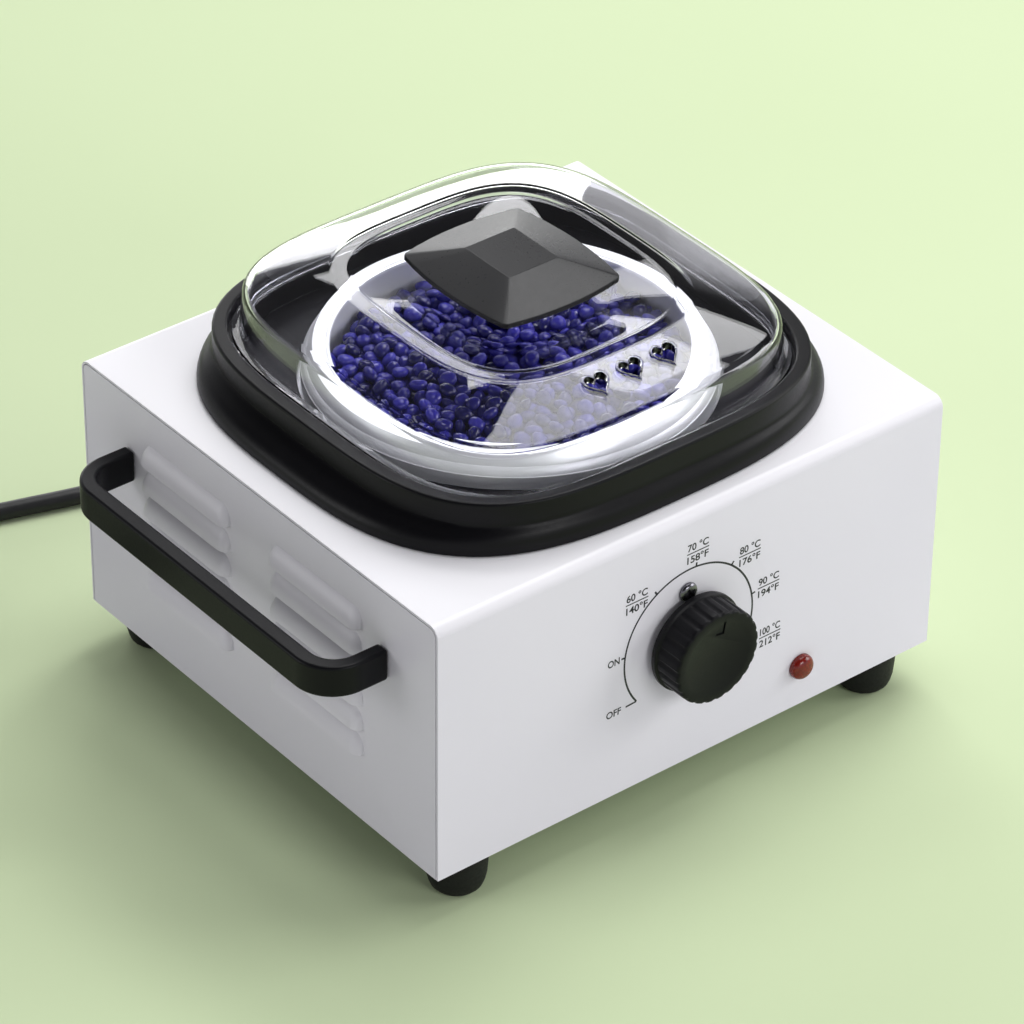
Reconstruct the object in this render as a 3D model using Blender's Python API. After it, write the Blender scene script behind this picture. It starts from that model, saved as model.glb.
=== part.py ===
"""Wax warmer: a folded steel casing, a heated chamber with a lift-out pot, a clear lid and a dial thermostat.

Sizes are in metres. The casing's frame has its origin at the centre of the casing's underside, the dial
faces -Y and +Z is up. An empty carries that frame: it stands the finished model on z = 0, with the middle of
its box, the cord left aside, on the origin.
"""
import math

import bmesh
import bpy
from mathutils import Matrix, Vector

# Gaps between pieces that touch, run or slide
TOUCH = 0.0003
BORE_CLEARANCE = 0.0003
OVERRUN = 0.002

# Casing: front, top and back are one folded sheet, and two side panels are let into its ends
CASING_SIDE_ROOM = 0.0117
CASING_FRONT_ROOM = 0.00935
CASING_HEIGHT = 0.1132
SHEET = 0.001
BEND_RADIUS = 0.0045
SEAM = 0.0004
PANEL_FLANGE = 0.009

# Louvres in the side panels
LOUVRE_ROWS = 6
LOUVRE_PITCH = 0.0114
LOUVRE_LENGTH = 0.0546
LOUVRE_HEIGHT = 0.0082
LOUVRE_STANDOUT = 0.0036
LOUVRE_END = 0.0060
LOUVRE_TOP_DROP = 0.0249
LOUVRE_COLUMN_SPACING = 0.0810
LOUVRE_SHIFT = 0.0018
LOUVRE_KERF = 0.0004
LOUVRE_END_SHARES = ((0.0, 0.40), (0.36, 0.83), (1.0, 1.0))
LOUVRE_BOW_SHARES = ((0.0, 1.0), (0.68, 0.60), (1.0, 0.0))

# Feet, with the screws that hold them
FOOT_HEIGHT = 0.019
FOOT_RADIUS = 0.012
FOOT_FLAT_RADIUS = 0.0076
FOOT_INSET_X = 0.0195
FOOT_INSET_Y = 0.0140
FOOT_SIDE_SHARES = ((0.0, 1.0), (0.10, 1.0), (0.68, 0.945), (0.86, 0.865), (0.965, 0.735))
FOOT_RECESS_CLEARANCE = 0.0008
FOOT_RECESS_DEPTH = 0.010
FOOT_SCREW_RADIUS = 0.0019
FOOT_SCREW_HEAD_RADIUS = 0.0038
FOOT_SCREW_HEAD = 0.0024
FOOT_SCREW_REACH = 0.004

# Handle, on the left side panel only
HANDLE_SIDE = -1
HANDLE_LOUVRE_ROOM = 0.0142
HANDLE_STANDOUT = 0.0295
HANDLE_BAR = 0.007
HANDLE_LEG = 0.006
HANDLE_DEPTH = 0.0133
HANDLE_TOP_DROP = 0.0247
HANDLE_BEND_RADIUS = 0.017
HANDLE_EDGE = 0.0012
HANDLE_SCREW_RADIUS = 0.0014
HANDLE_SCREW_REACH = 0.010

# Collar: black moulding that stands on the casing round the chamber
COLLAR_HEIGHT = 0.0197
COLLAR_RECESS_ROOM = (0.0120, 0.0125)
COLLAR_RIM_WIDTH = (0.0068, 0.0058)
COLLAR_FLANGE_WIDTH = (0.0105, 0.0037)
COLLAR_RECESS_SQUARENESS_SHARE = 3.70
COLLAR_RIM_SQUARENESS_SHARE = 3.45
COLLAR_FLANGE_SQUARENESS_SHARE = 3.05
COLLAR_EDGE = 0.0011
COLLAR_WALL = 0.0035
COLLAR_LEDGE_DROP = 0.0049
COLLAR_LEDGE_WIDTH = 0.0032
COLLAR_FLOOR_THICKNESS = 0.0028
COLLAR_FLOOR_GAP = 0.0005
COLLAR_HOLE_CLEARANCE = 0.0014
COLLAR_SIDE_SHARES = ((0.0, 0.0), (0.17, 0.05), (0.33, 0.28), (0.44, 0.70), (0.53, 1.0))
RING_POINTS = 40

# Heating chamber with its band heater, felt jacket and cut-out
CHAMBER_WALL = 0.0012
CHAMBER_FLANGE = 0.0009
CHAMBER_FLANGE_CLEARANCE = 0.0005
CHAMBER_FLOOR = 0.0205
CHAMBER_CORNER = 0.0050
CHAMBER_SCREW_MARGIN = 0.0050
CHAMBER_SCREW_RADIUS = 0.0014
CHAMBER_SCREW_GRIP = 0.0019
SCREW_HEAD_RADIUS = 0.0028
SCREW_HEAD = 0.0018
SCREW_HOLE_CLEARANCE = 0.0004
BAND_ABOVE_FLOOR = 0.0115
BAND_BELOW_TOP = 0.0202
BAND_THICKNESS = 0.0016
JACKET_ABOVE_FLOOR = 0.0195
JACKET_BELOW_TOP = 0.0122
JACKET_THICKNESS = 0.0055
CUTOUT_RADIUS = 0.0080
CUTOUT_HEIGHT = 0.0075
CUTOUT_PLACE = (0.022, 0.020)
TURNED_POINTS = 32

# Lift-out pot and the wax in it
POT_OPENING_RADIUS = 0.0724
POT_WALL = 0.0010
POT_CLEARANCE = 0.0006
POT_RIM_WIDTH = 0.0066
POT_RIM_RISE = 0.0160
POT_RIM_EDGE = 0.0007
POT_LIP = 0.0049
POT_CROWN_INSET = 0.0045
POT_SKIRT_INSET = 0.0008
POT_SKIRT_WALL = 0.0013
POT_CORNER = 0.0060
POT_GAP_BELOW = 0.0030
WAX_BELOW_RIM = 0.0096
WAX_MOUND = 0.0022

# Clear lid, lofted through superellipses that each stand in from the one outside it
LID_CLEARANCE = 0.0015
LID_LIP_HEIGHT = 0.0025
LID_LIP_WIDTH = (0.0027, 0.0016)
LID_SKIRT_DRAFT = (0.0030, 0.0006)
LID_SLOPE_WIDTH = (0.0276, 0.0263)
LID_BOWL_WIDTH = (0.0222, 0.0245)
LID_SKIRT_SQUARENESS_SHARE = 3.80
LID_SHOULDER_SQUARENESS_SHARE = 3.90
LID_PLATEAU_SQUARENESS_SHARE = 3.50
LID_DISH_SQUARENESS_SHARE = 2.90
LID_BOSS_RADIUS = 0.0125
LID_WALL = 0.0024
LID_SHOULDER_HEIGHT = 0.0200
LID_SHOULDER_EDGE = 0.0022
LID_PLATEAU_RISE = 0.0087
LID_PLATEAU_WIDTH = 0.0058
LID_DISH_DROP = 0.0044
LID_BOSS_DROP = 0.0022
LID_SCREW_RADIUS = 0.0015
LID_SCREW_REACH = 0.0065

# Heart-shaped steam vents in the lid's front slope
VENT_COUNT = 3
VENT_PITCH = 0.0160
VENT_WIDTH = 0.0098
VENT_RIM = 0.0009
VENT_RIM_PROUD = 0.0009
VENT_BELOW_PLATEAU = 0.0089
VENT_POINTS = 14

# Lid knob: a bowed square with bevelled facets on a round neck
LID_KNOB_HALF = (0.0305, 0.0340)
LID_KNOB_BOW = 0.0030
LID_KNOB_CORNER = 0.0014
LID_KNOB_FACET_CORNER = 0.0005
LID_KNOB_FACET_HALF = (0.0116, 0.0132)
LID_KNOB_RIM = 0.0020
LID_KNOB_FACET_RISE = 0.0056
LID_KNOB_UNDERSIDE = 0.0018
LID_KNOB_UNDERSIDE_HALF = (0.0265, 0.0297)
LID_KNOB_NECK_RADIUS = 0.0080
LID_KNOB_NECK = 0.0085
LID_KNOB_SIDE_SHARES = (-1.0, -0.6, -0.2, 0.2, 0.6, 1.0)

# Dial thermostat behind the front panel and its knob
DIAL_CENTRE = (-0.0030, 0.0579)
DIAL_KNOB_RADIUS = 0.0205
DIAL_KNOB_FACE_INSET = 0.0009
DIAL_KNOB_STANDOFF = 0.0170
DIAL_KNOB_CLEARANCE = 0.0005
DIAL_KNOB_SKIRT = 0.0024
DIAL_KNOB_EDGE = 0.0009
DIAL_FLUTES = 24
DIAL_FLUTE_DEPTH = 0.0007
DIAL_POINTER_ANGLE = math.radians(80.0)
DIAL_NOTCH_RADIUS = 0.0128
DIAL_NOTCH_LENGTH = 0.0052
DIAL_NOTCH_FOOT = 0.0028
DIAL_NOTCH_WIDTH = 0.0011
DIAL_NOTCH_DEPTH = 0.0006
SHAFT_RADIUS = 0.0030
SHAFT_IN_KNOB = 0.0095
SHAFT_IN_BODY = 0.0060
THERMOSTAT_PLATE = (0.0180, 0.0025)
THERMOSTAT_PLATE_MARGIN = 0.0050
THERMOSTAT_BODY = (0.0150, 0.0150, 0.0155)
PANEL_SCREW_SPACING = 0.0430
PANEL_SCREW_TILT = math.radians(4.5)
PANEL_SCREW_RADIUS = 0.0015
PANEL_SCREW_HEAD_RADIUS = 0.0040
PANEL_SCREW_HEAD = 0.0021
PANEL_SCREW_REACH = 0.0022
PANEL_SCREW_SLOT_LENGTH = 0.0048
PANEL_SCREW_SLOT_WIDTH = 0.0009
PANEL_SCREW_SLOT_DEPTH = 0.0009
BULB_RADIUS = 0.0030
BULB_LENGTH = 0.060
CAPILLARY_RADIUS = 0.0009
CAPILLARY_UNDER_CHAMBER = 0.0032
CAPILLARY_FROM_FEED = 0.0024

# Pilot lamp
LAMP_CENTRE = (0.0533, 0.0188)
LAMP_LENS_RADIUS = 0.00525
LAMP_LENS_HEIGHT = 0.0042
LAMP_STEM_RADIUS = 0.0035
LAMP_STEM_LENGTH = 0.0060
LAMP_BODY_RADIUS = 0.0050
LAMP_BODY_LENGTH = 0.0200
LAMP_CLIP_RADIUS = 0.0082
LAMP_CLIP = 0.0008

# Mains entry
GLAND_HEIGHT = 0.0140
GLAND_FLANGE_RADIUS = 0.0085
GLAND_FLANGE = 0.0025
GLAND_RELIEF_LENGTH = 0.0270
GLAND_RELIEF_RADIUS = 0.0064
GLAND_END_RADIUS = 0.0047
GLAND_STEM_RADIUS = 0.0057
GLAND_STEM_LENGTH = 0.0060
GLAND_NUT_RADIUS = 0.0085
GLAND_NUT = 0.0035
BLOCK_SIZE = (0.032, 0.018, 0.016)
BLOCK_RIGHT = 0.046
BLOCK_FROM_BACK = 0.02335
WIRE_RADIUS = 0.0010
FEED_ANGLE = math.radians(264.0)
RETURN_ANGLE = math.radians(60.0)

# Supply cord, coil and plug
CORD_RADIUS = 0.0037
CORD_STEP = 0.0175
COIL_CENTRE = (-0.2043, 0.1755)
COIL_OUTER_RADIUS = 0.0529
COIL_TURNS_PER_LAYER = 2.15
COIL_PITCH = 0.0080
COIL_START_ANGLE = math.radians(73.0)
COIL_POINTS_PER_TURN = 24
PLUG_RADIUS = 0.0185
PLUG_DISC = 0.0150
PLUG_GRIP = 0.0230
PLUG_GRIP_RADIUS = 0.0120
PLUG_RELIEF = 0.0250
PLUG_RELIEF_RADIUS = 0.0058
PLUG_FRONT = (-0.2625, 0.0520)
PLUG_HEADING = math.radians(266.0)
PIN_RADIUS = 0.0024
PIN_LENGTH = 0.0190
PIN_SPACING = 0.0190
EARTH_CLIP = (0.0030, 0.0012)


def grown(outline, by):
    """A pair of half sizes with a step added to each."""
    return (outline[0] + by[0], outline[1] + by[1])


def shrunk(outline, by):
    """A pair of half sizes with a step taken from each."""
    return (outline[0] - by[0], outline[1] - by[1])


# What follows from the sizes above: pot, chamber, collar and casing stand round each other
POT_OUTSIDE_RADIUS = POT_OPENING_RADIUS + POT_WALL
POT_RIM_RADIUS = POT_OPENING_RADIUS + POT_RIM_WIDTH
POT_SKIRT_RADIUS = POT_RIM_RADIUS - POT_SKIRT_INSET
POT_CROWN_RADIUS = POT_RIM_RADIUS - POT_CROWN_INSET
CHAMBER_BORE_RADIUS = POT_OUTSIDE_RADIUS + POT_CLEARANCE
CHAMBER_RADIUS = CHAMBER_BORE_RADIUS + CHAMBER_WALL
COLLAR_HOLE_RADIUS = POT_SKIRT_RADIUS + COLLAR_HOLE_CLEARANCE
COLLAR_RECESS_HALF = grown((POT_RIM_RADIUS, POT_RIM_RADIUS), COLLAR_RECESS_ROOM)
COLLAR_RIM_HALF = grown(COLLAR_RECESS_HALF, COLLAR_RIM_WIDTH)
COLLAR_FLANGE_HALF = grown(COLLAR_RIM_HALF, COLLAR_FLANGE_WIDTH)
COLLAR_RECESS = (*COLLAR_RECESS_HALF, COLLAR_RECESS_SQUARENESS_SHARE)
COLLAR_RIM = (*COLLAR_RIM_HALF, COLLAR_RIM_SQUARENESS_SHARE)
COLLAR_FLANGE = (*COLLAR_FLANGE_HALF, COLLAR_FLANGE_SQUARENESS_SHARE)
CHAMBER_FLANGE_RADIUS = COLLAR_FLANGE_HALF[1] - COLLAR_WALL - CHAMBER_FLANGE_CLEARANCE
CHAMBER_SCREW_CIRCLE = CHAMBER_FLANGE_RADIUS - CHAMBER_SCREW_MARGIN
HALF_WIDTH = COLLAR_FLANGE_HALF[0] + CASING_SIDE_ROOM
HALF_DEPTH = COLLAR_FLANGE_HALF[1] + CASING_FRONT_ROOM
FRONT_PANEL = -HALF_DEPTH
COLLAR_BOTTOM = CASING_HEIGHT + TOUCH
COLLAR_TOP = COLLAR_BOTTOM + COLLAR_HEIGHT
CHAMBER_TOP = CASING_HEIGHT + TOUCH + CHAMBER_FLANGE
COLLAR_FLOOR = CHAMBER_TOP + COLLAR_FLOOR_GAP + COLLAR_FLOOR_THICKNESS
POT_RIM_TOP = CASING_HEIGHT + POT_RIM_RISE
WAX_FILL = POT_RIM_TOP - WAX_BELOW_RIM
BAND_BOTTOM = CHAMBER_FLOOR + BAND_ABOVE_FLOOR
BAND_HEIGHT = CASING_HEIGHT - SHEET - BAND_BELOW_TOP - BAND_BOTTOM
JACKET_BOTTOM = CHAMBER_FLOOR + JACKET_ABOVE_FLOOR
JACKET_HEIGHT = CASING_HEIGHT - SHEET - JACKET_BELOW_TOP - JACKET_BOTTOM
LID_LIP_HALF = shrunk(COLLAR_RECESS_HALF, (LID_CLEARANCE, LID_CLEARANCE))
LID_SKIRT_HALF = shrunk(LID_LIP_HALF, LID_LIP_WIDTH)
LID_SHOULDER_HALF = shrunk(LID_SKIRT_HALF, LID_SKIRT_DRAFT)
LID_PLATEAU_HALF = shrunk(LID_SHOULDER_HALF, LID_SLOPE_WIDTH)
LID_DISH_HALF = shrunk(LID_PLATEAU_HALF, LID_BOWL_WIDTH)
LID_LIP = (*LID_LIP_HALF, LID_SKIRT_SQUARENESS_SHARE)
LID_SKIRT = (*LID_SKIRT_HALF, LID_SKIRT_SQUARENESS_SHARE)
LID_SHOULDER = (*LID_SHOULDER_HALF, LID_SHOULDER_SQUARENESS_SHARE)
LID_PLATEAU = (*LID_PLATEAU_HALF, LID_PLATEAU_SQUARENESS_SHARE)
LID_DISH = (*LID_DISH_HALF, LID_DISH_SQUARENESS_SHARE)
LID_PLATEAU_HEIGHT = LID_SHOULDER_HEIGHT + LID_PLATEAU_RISE
LID_DISH_HEIGHT = LID_PLATEAU_HEIGHT - LID_DISH_DROP
LID_BOSS_HEIGHT = LID_DISH_HEIGHT - LID_BOSS_DROP
LID_BOTTOM = COLLAR_TOP - COLLAR_LEDGE_DROP + TOUCH
KNOB_BOTTOM = LID_BOTTOM + LID_BOSS_HEIGHT + TOUCH
VENT_FORWARD = LID_PLATEAU_HALF[1] + VENT_BELOW_PLATEAU
HANDLE_LENGTH = LOUVRE_COLUMN_SPACING + LOUVRE_LENGTH + 2 * HANDLE_LOUVRE_ROOM
HANDLE_BOTTOM = CASING_HEIGHT - HANDLE_TOP_DROP - HANDLE_DEPTH
FOOT_RECESS_RADIUS = FOOT_SCREW_HEAD_RADIUS + FOOT_RECESS_CLEARANCE
DIAL_KNOB_FACE_RADIUS = DIAL_KNOB_RADIUS - DIAL_KNOB_FACE_INSET
DIAL_KNOB_GAP = TOUCH + PANEL_SCREW_HEAD + DIAL_KNOB_CLEARANCE
BLOCK_PLACE = (BLOCK_RIGHT, HALF_DEPTH - BLOCK_FROM_BACK)
FLOOR_LEVEL = -FOOT_HEIGHT
CORD_LEVEL = FLOOR_LEVEL + CORD_RADIUS + TOUCH
PLUG_LEVEL = FLOOR_LEVEL + PLUG_RADIUS + TOUCH
PLUG_LENGTH = PLUG_DISC + PLUG_GRIP + PLUG_RELIEF
SKIN_ANGLE = math.radians(35.0)

UP = Vector((0, 0, 1))
FORWARD = Vector((0, -1, 0))
BACKWARD = Vector((0, 1, 0))

# The cord's free routes, chosen by hand in the casing's frame
LEAD_ROUTE = (
    (-0.0012, 0.1560, 0.0112),
    (-0.0060, 0.1660, 0.0055),
    (-0.0150, 0.1745, -0.0025),
    (-0.0270, 0.1800, -0.0095),
    (-0.0400, 0.1832, -0.0136),
    (-0.0540, 0.1862, CORD_LEVEL),
    (-0.0702, 0.1900, CORD_LEVEL),
    (-0.0870, 0.1951, CORD_LEVEL),
    (-0.1048, 0.2006, CORD_LEVEL),
    (-0.1250, 0.2068, CORD_LEVEL),
    (-0.1470, 0.2135, CORD_LEVEL),
)
TAIL_ROUTE = (
    (-0.2585, 0.1500, -0.0085),
    (-0.2592, 0.1360, -0.0060),
)


def look(name, colour, roughness, metallic=0.0, alpha=1.0):
    """Makes one material for one part."""
    material = bpy.data.materials.new(name + "_finish")
    material.use_nodes = True
    shader = material.node_tree.nodes["Principled BSDF"]
    shader.inputs["Base Color"].default_value = (*colour, 1.0)
    shader.inputs["Roughness"].default_value = roughness
    shader.inputs["Metallic"].default_value = metallic
    shader.inputs["Alpha"].default_value = alpha
    return material


def add_part(name, shape, finish, at=(0, 0, 0), round_part=True):
    """Turns a bmesh into a named object in the casing's frame, with its origin at the place given."""
    bmesh.ops.translate(shape, verts=shape.verts, vec=-Vector(at))
    bmesh.ops.recalc_face_normals(shape, faces=shape.faces)
    mesh = bpy.data.meshes.new(name)
    shape.to_mesh(mesh)
    shape.free()
    if round_part:
        mesh.shade_smooth()
        mesh.set_sharp_from_angle(angle=SKIN_ANGLE)
    return add_object(name, mesh, finish, at)


def add_object(name, data, finish, at=(0, 0, 0)):
    """Links an object that carries a mesh or a curve, and gives it its own finish."""
    part = bpy.data.objects.new(name, data)
    bpy.context.scene.collection.objects.link(part)
    part.parent = casing_frame
    part.location = at
    data.materials.clear()
    data.materials.append(look(name, *finish))
    return part


def cut(part, shape, operation="DIFFERENCE"):
    """Adds a Boolean to a part. Its cutter shares the part's place and is only a guide."""
    bmesh.ops.translate(shape, verts=shape.verts, vec=-part.location)
    bmesh.ops.recalc_face_normals(shape, faces=shape.faces)
    mesh = bpy.data.meshes.new(part.name + "_cutter")
    shape.to_mesh(mesh)
    shape.free()
    cutter = bpy.data.objects.new(mesh.name, mesh)
    bpy.context.scene.collection.objects.link(cutter)
    cutter.parent = casing_frame
    cutter.location = part.location
    cutter.hide_render = True
    cutter.display_type = "WIRE"
    boolean = part.modifiers.new(operation.lower(), "BOOLEAN")
    boolean.operation = operation
    boolean.object = cutter


def loft(shape, rings, looped=False):
    """Skins a run of rings with as many points each. A looped run closes on its first ring."""
    loops = [[shape.verts.new(point) for point in ring] for ring in rings]
    pairs = list(zip(loops, loops[1:]))
    if looped:
        pairs.append((loops[-1], loops[0]))
    for near, far in pairs:
        for i in range(len(near)):
            j = (i + 1) % len(near)
            shape.faces.new((near[i], near[j], far[j], far[i]))
    if not looped:
        shape.faces.new(loops[0])
        shape.faces.new(loops[-1])


def axis_matrix(start, direction):
    """The frame whose Z runs from a point along a direction."""
    return Matrix.Translation(start) @ Vector(direction).to_track_quat("Z", "Y").to_matrix().to_4x4()


def turn(shape, profile, start, direction=UP, points=TURNED_POINTS, looped=False):
    """Turns a profile of radius and height pairs round an axis. Unlooped profiles end in flat caps."""
    frame = axis_matrix(start, direction)
    steps = [math.tau * k / points for k in range(points)]
    rings = [
        [frame @ Vector((radius * math.cos(t), radius * math.sin(t), height)) for t in steps]
        for radius, height in profile
    ]
    loft(shape, rings, looped)


def peg(shape, radius, start, direction, length, points=16):
    """A plain round bar from a point along a direction."""
    turn(shape, ((radius, 0), (radius, length)), start, direction, points)


def block(shape, low, high):
    """A box between two corners."""
    middle = (Vector(low) + Vector(high)) / 2
    size = Vector(high) - Vector(low)
    place = Matrix.Translation(middle) @ Matrix.Diagonal((*size, 1))
    bmesh.ops.create_cube(shape, size=1, matrix=place)


def superellipse(outline, height, inset=0.0):
    """The ring of an outline of half width, half depth and squareness, at equal steps of angle."""
    half_x, half_y, power = outline
    half_x, half_y = half_x - inset, half_y - inset
    ring = []
    for k in range(RING_POINTS):
        angle = math.tau * k / RING_POINTS
        across, along = math.cos(angle), math.sin(angle)
        reach = (abs(across / half_x) ** power + abs(along / half_y) ** power) ** (-1 / power)
        ring.append(Vector((reach * across, reach * along, height)))
    return ring


def circle_outline(radius):
    """A circle in the form that superellipse takes."""
    return (radius, radius, 2.0)


def between(first, second, share):
    """The outline that lies a share of the way from one outline to another."""
    return tuple(a + (b - a) * share for a, b in zip(first, second))


def screw(shape, radius, length, head_radius, head, start, direction):
    """A hidden screw: a plain head against the start point and a shank along the direction."""
    profile = ((head_radius, -head), (head_radius, 0), (radius, 0), (radius, length))
    turn(shape, profile, start, direction, 10)


def pan_screw(shape, radius, length, head_radius, head, start, direction):
    """A screw with a domed head, where it shows."""
    dome = head / 3
    profile = (
        (head_radius * 0.6, -head),
        (head_radius - dome / 2, -head + dome),
        (head_radius, -dome),
        (head_radius, 0),
        (radius, 0),
        (radius, length),
    )
    turn(shape, profile, start, direction, 16)


def smooth_route(points, step):
    """Reads points at equal steps from a Catmull-Rom curve. The first and last runs stay straight."""
    knots = [Vector(p) for p in points]
    fine = []
    for a, b, c, d in zip(knots, knots[1:], knots[2:], knots[3:]):
        for k in range(16):
            t = k / 16
            bend = (2 * a - 5 * b + 4 * c - d) * t**2 + (3 * b - a - 3 * c + d) * t**3
            fine.append((2 * b + (c - a) * t + bend) / 2)
    fine.append(knots[-2])
    runs = [(q - p).length for p, q in zip(fine, fine[1:])]
    count = max(2, round(sum(runs) / step))
    route, walked, i = [fine[0]], 0.0, 0
    for k in range(1, count):
        target = sum(runs) * k / count
        while walked + runs[i] < target:
            walked += runs[i]
            i += 1
        route.append(fine[i].lerp(fine[i + 1], (target - walked) / runs[i]))
    return [knots[0]] + route + [fine[-1], knots[-1]]


def route_between(start, leaving, via, end, arriving, radius):
    """The points of a tube that leaves its start and meets its end square, straight for one diameter."""
    first, last = Vector(start), Vector(end)
    straight = 2 * radius
    return (first, first + leaving * straight, *via, last - arriving * straight, last)


def tube(name, route, radius, finish, sides):
    """A round tube with closed ends along a run of points, as a bevelled curve."""
    curve = bpy.data.curves.new(name, "CURVE")
    curve.dimensions = "3D"
    curve.bevel_depth = radius
    curve.bevel_resolution = sides
    curve.use_fill_caps = True
    curve.render_resolution_u = 0
    spline = curve.splines.new("POLY")
    spline.points.add(len(route) - 1)
    for point, place in zip(spline.points, route):
        point.co = (*place, 1)
    return add_object(name, curve, finish)


def fold_profile(inset):
    """The front, top and back of the casing as seen from the side, from front edge to back edge."""
    radius = BEND_RADIUS - inset
    top = CASING_HEIGHT - inset
    edge = HALF_DEPTH - inset
    profile = [(-edge, 0)]
    for centre, first in ((-edge + radius, math.pi), (edge - radius, math.pi / 2)):
        for k in range(5):
            angle = first - math.pi / 2 * k / 4
            profile.append((centre + radius * math.cos(angle), top - radius + radius * math.sin(angle)))
    return profile + [(edge, 0)]


def dial_point(forward):
    """A point on the dial's axis, so far in front of the front panel's face."""
    return Vector((DIAL_CENTRE[0], FRONT_PANEL - forward, DIAL_CENTRE[1]))


def panel_screw_places():
    """Where the two thermostat screws pass through the front panel."""
    lean = Vector((-math.sin(PANEL_SCREW_TILT), 0, math.cos(PANEL_SCREW_TILT))) * PANEL_SCREW_SPACING / 2
    return dial_point(0) + lean, dial_point(0) - lean


def chamber_screw_places():
    """Where the four screws that clamp chamber and collar stand, on the casing's diagonals."""
    reach = CHAMBER_SCREW_CIRCLE * math.sqrt(0.5)
    return [(x * reach, y * reach) for x, y in ((-1, -1), (1, -1), (1, 1), (-1, 1))]


def foot_places():
    """The centres of the four feet."""
    x, y = HALF_WIDTH - FOOT_INSET_X, HALF_DEPTH - FOOT_INSET_Y
    return {"front_left": (-x, -y), "front_right": (x, -y), "rear_right": (x, y), "rear_left": (-x, y)}


def handle_leg_y():
    """How far each handle leg's middle lies from the handle's middle."""
    return (HANDLE_LENGTH - HANDLE_LEG) / 2


def handle_screw_height():
    """The height of the handle screws, at the middle of the handle."""
    return HANDLE_BOTTOM + HANDLE_DEPTH / 2


def casing_wrap():
    """The folded sheet, open at the bottom and both ends, drilled for what it carries."""
    shape = bmesh.new()
    rings = []
    for (y0, z0), (y1, z1) in zip(fold_profile(0), fold_profile(SHEET)):
        rings.append(
            (
                Vector((-HALF_WIDTH, y0, z0)),
                Vector((HALF_WIDTH, y0, z0)),
                Vector((HALF_WIDTH, y1, z1)),
                Vector((-HALF_WIDTH, y1, z1)),
            )
        )
    loft(shape, rings)
    wrap = add_part("casing_wrap", shape, ((0.80, 0.80, 0.81), 0.42))
    holes = bmesh.new()
    deep = SHEET + 2 * OVERRUN
    below = Vector((0, 0, CASING_HEIGHT - SHEET - OVERRUN))
    peg(holes, CHAMBER_RADIUS + OVERRUN, below, UP, deep, TURNED_POINTS)
    for x, y in chamber_screw_places():
        peg(holes, CHAMBER_SCREW_RADIUS + SCREW_HOLE_CLEARANCE, below + Vector((x, y, 0)), UP, deep, 12)
    peg(holes, SHAFT_RADIUS + OVERRUN, dial_point(OVERRUN), BACKWARD, deep)
    for place in panel_screw_places():
        peg(holes, PANEL_SCREW_RADIUS + SCREW_HOLE_CLEARANCE, place - BACKWARD * OVERRUN, BACKWARD, deep, 12)
    lamp = Vector((LAMP_CENTRE[0], FRONT_PANEL - OVERRUN, LAMP_CENTRE[1]))
    peg(holes, LAMP_STEM_RADIUS + BORE_CLEARANCE, lamp, BACKWARD, deep)
    gland = Vector((0, HALF_DEPTH + OVERRUN, GLAND_HEIGHT))
    peg(holes, GLAND_STEM_RADIUS + BORE_CLEARANCE, gland, FORWARD, deep)
    cut(wrap, holes)


def louvre(shape, side, middle, lip, skin):
    """One pressed louvre, or with a skin the hollow under it. Its mouth opens downwards."""
    face = HALF_WIDTH
    root = face - SHEET / 2 if not skin else face - SHEET - OVERRUN
    bottom = lip if not skin else lip - LOUVRE_KERF
    half = LOUVRE_LENGTH / 2 - skin
    stations = [(-half + LOUVRE_END * f, s) for f, s in LOUVRE_END_SHARES]
    stations += [(-y, s) for y, s in reversed(stations)]
    rings = []
    for y, swell in stations:
        height = (LOUVRE_HEIGHT - skin) * swell
        standout = (LOUVRE_STANDOUT - skin) * swell
        ring = [(root, bottom), (root, lip + height)]
        ring += [(face + standout * out, lip + height * up) for up, out in reversed(LOUVRE_BOW_SHARES)]
        ring[-1] = (ring[-1][0], bottom)
        rings.append([Vector((side * x, middle + y, z)) for x, z in ring])
    loft(shape, rings)


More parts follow.
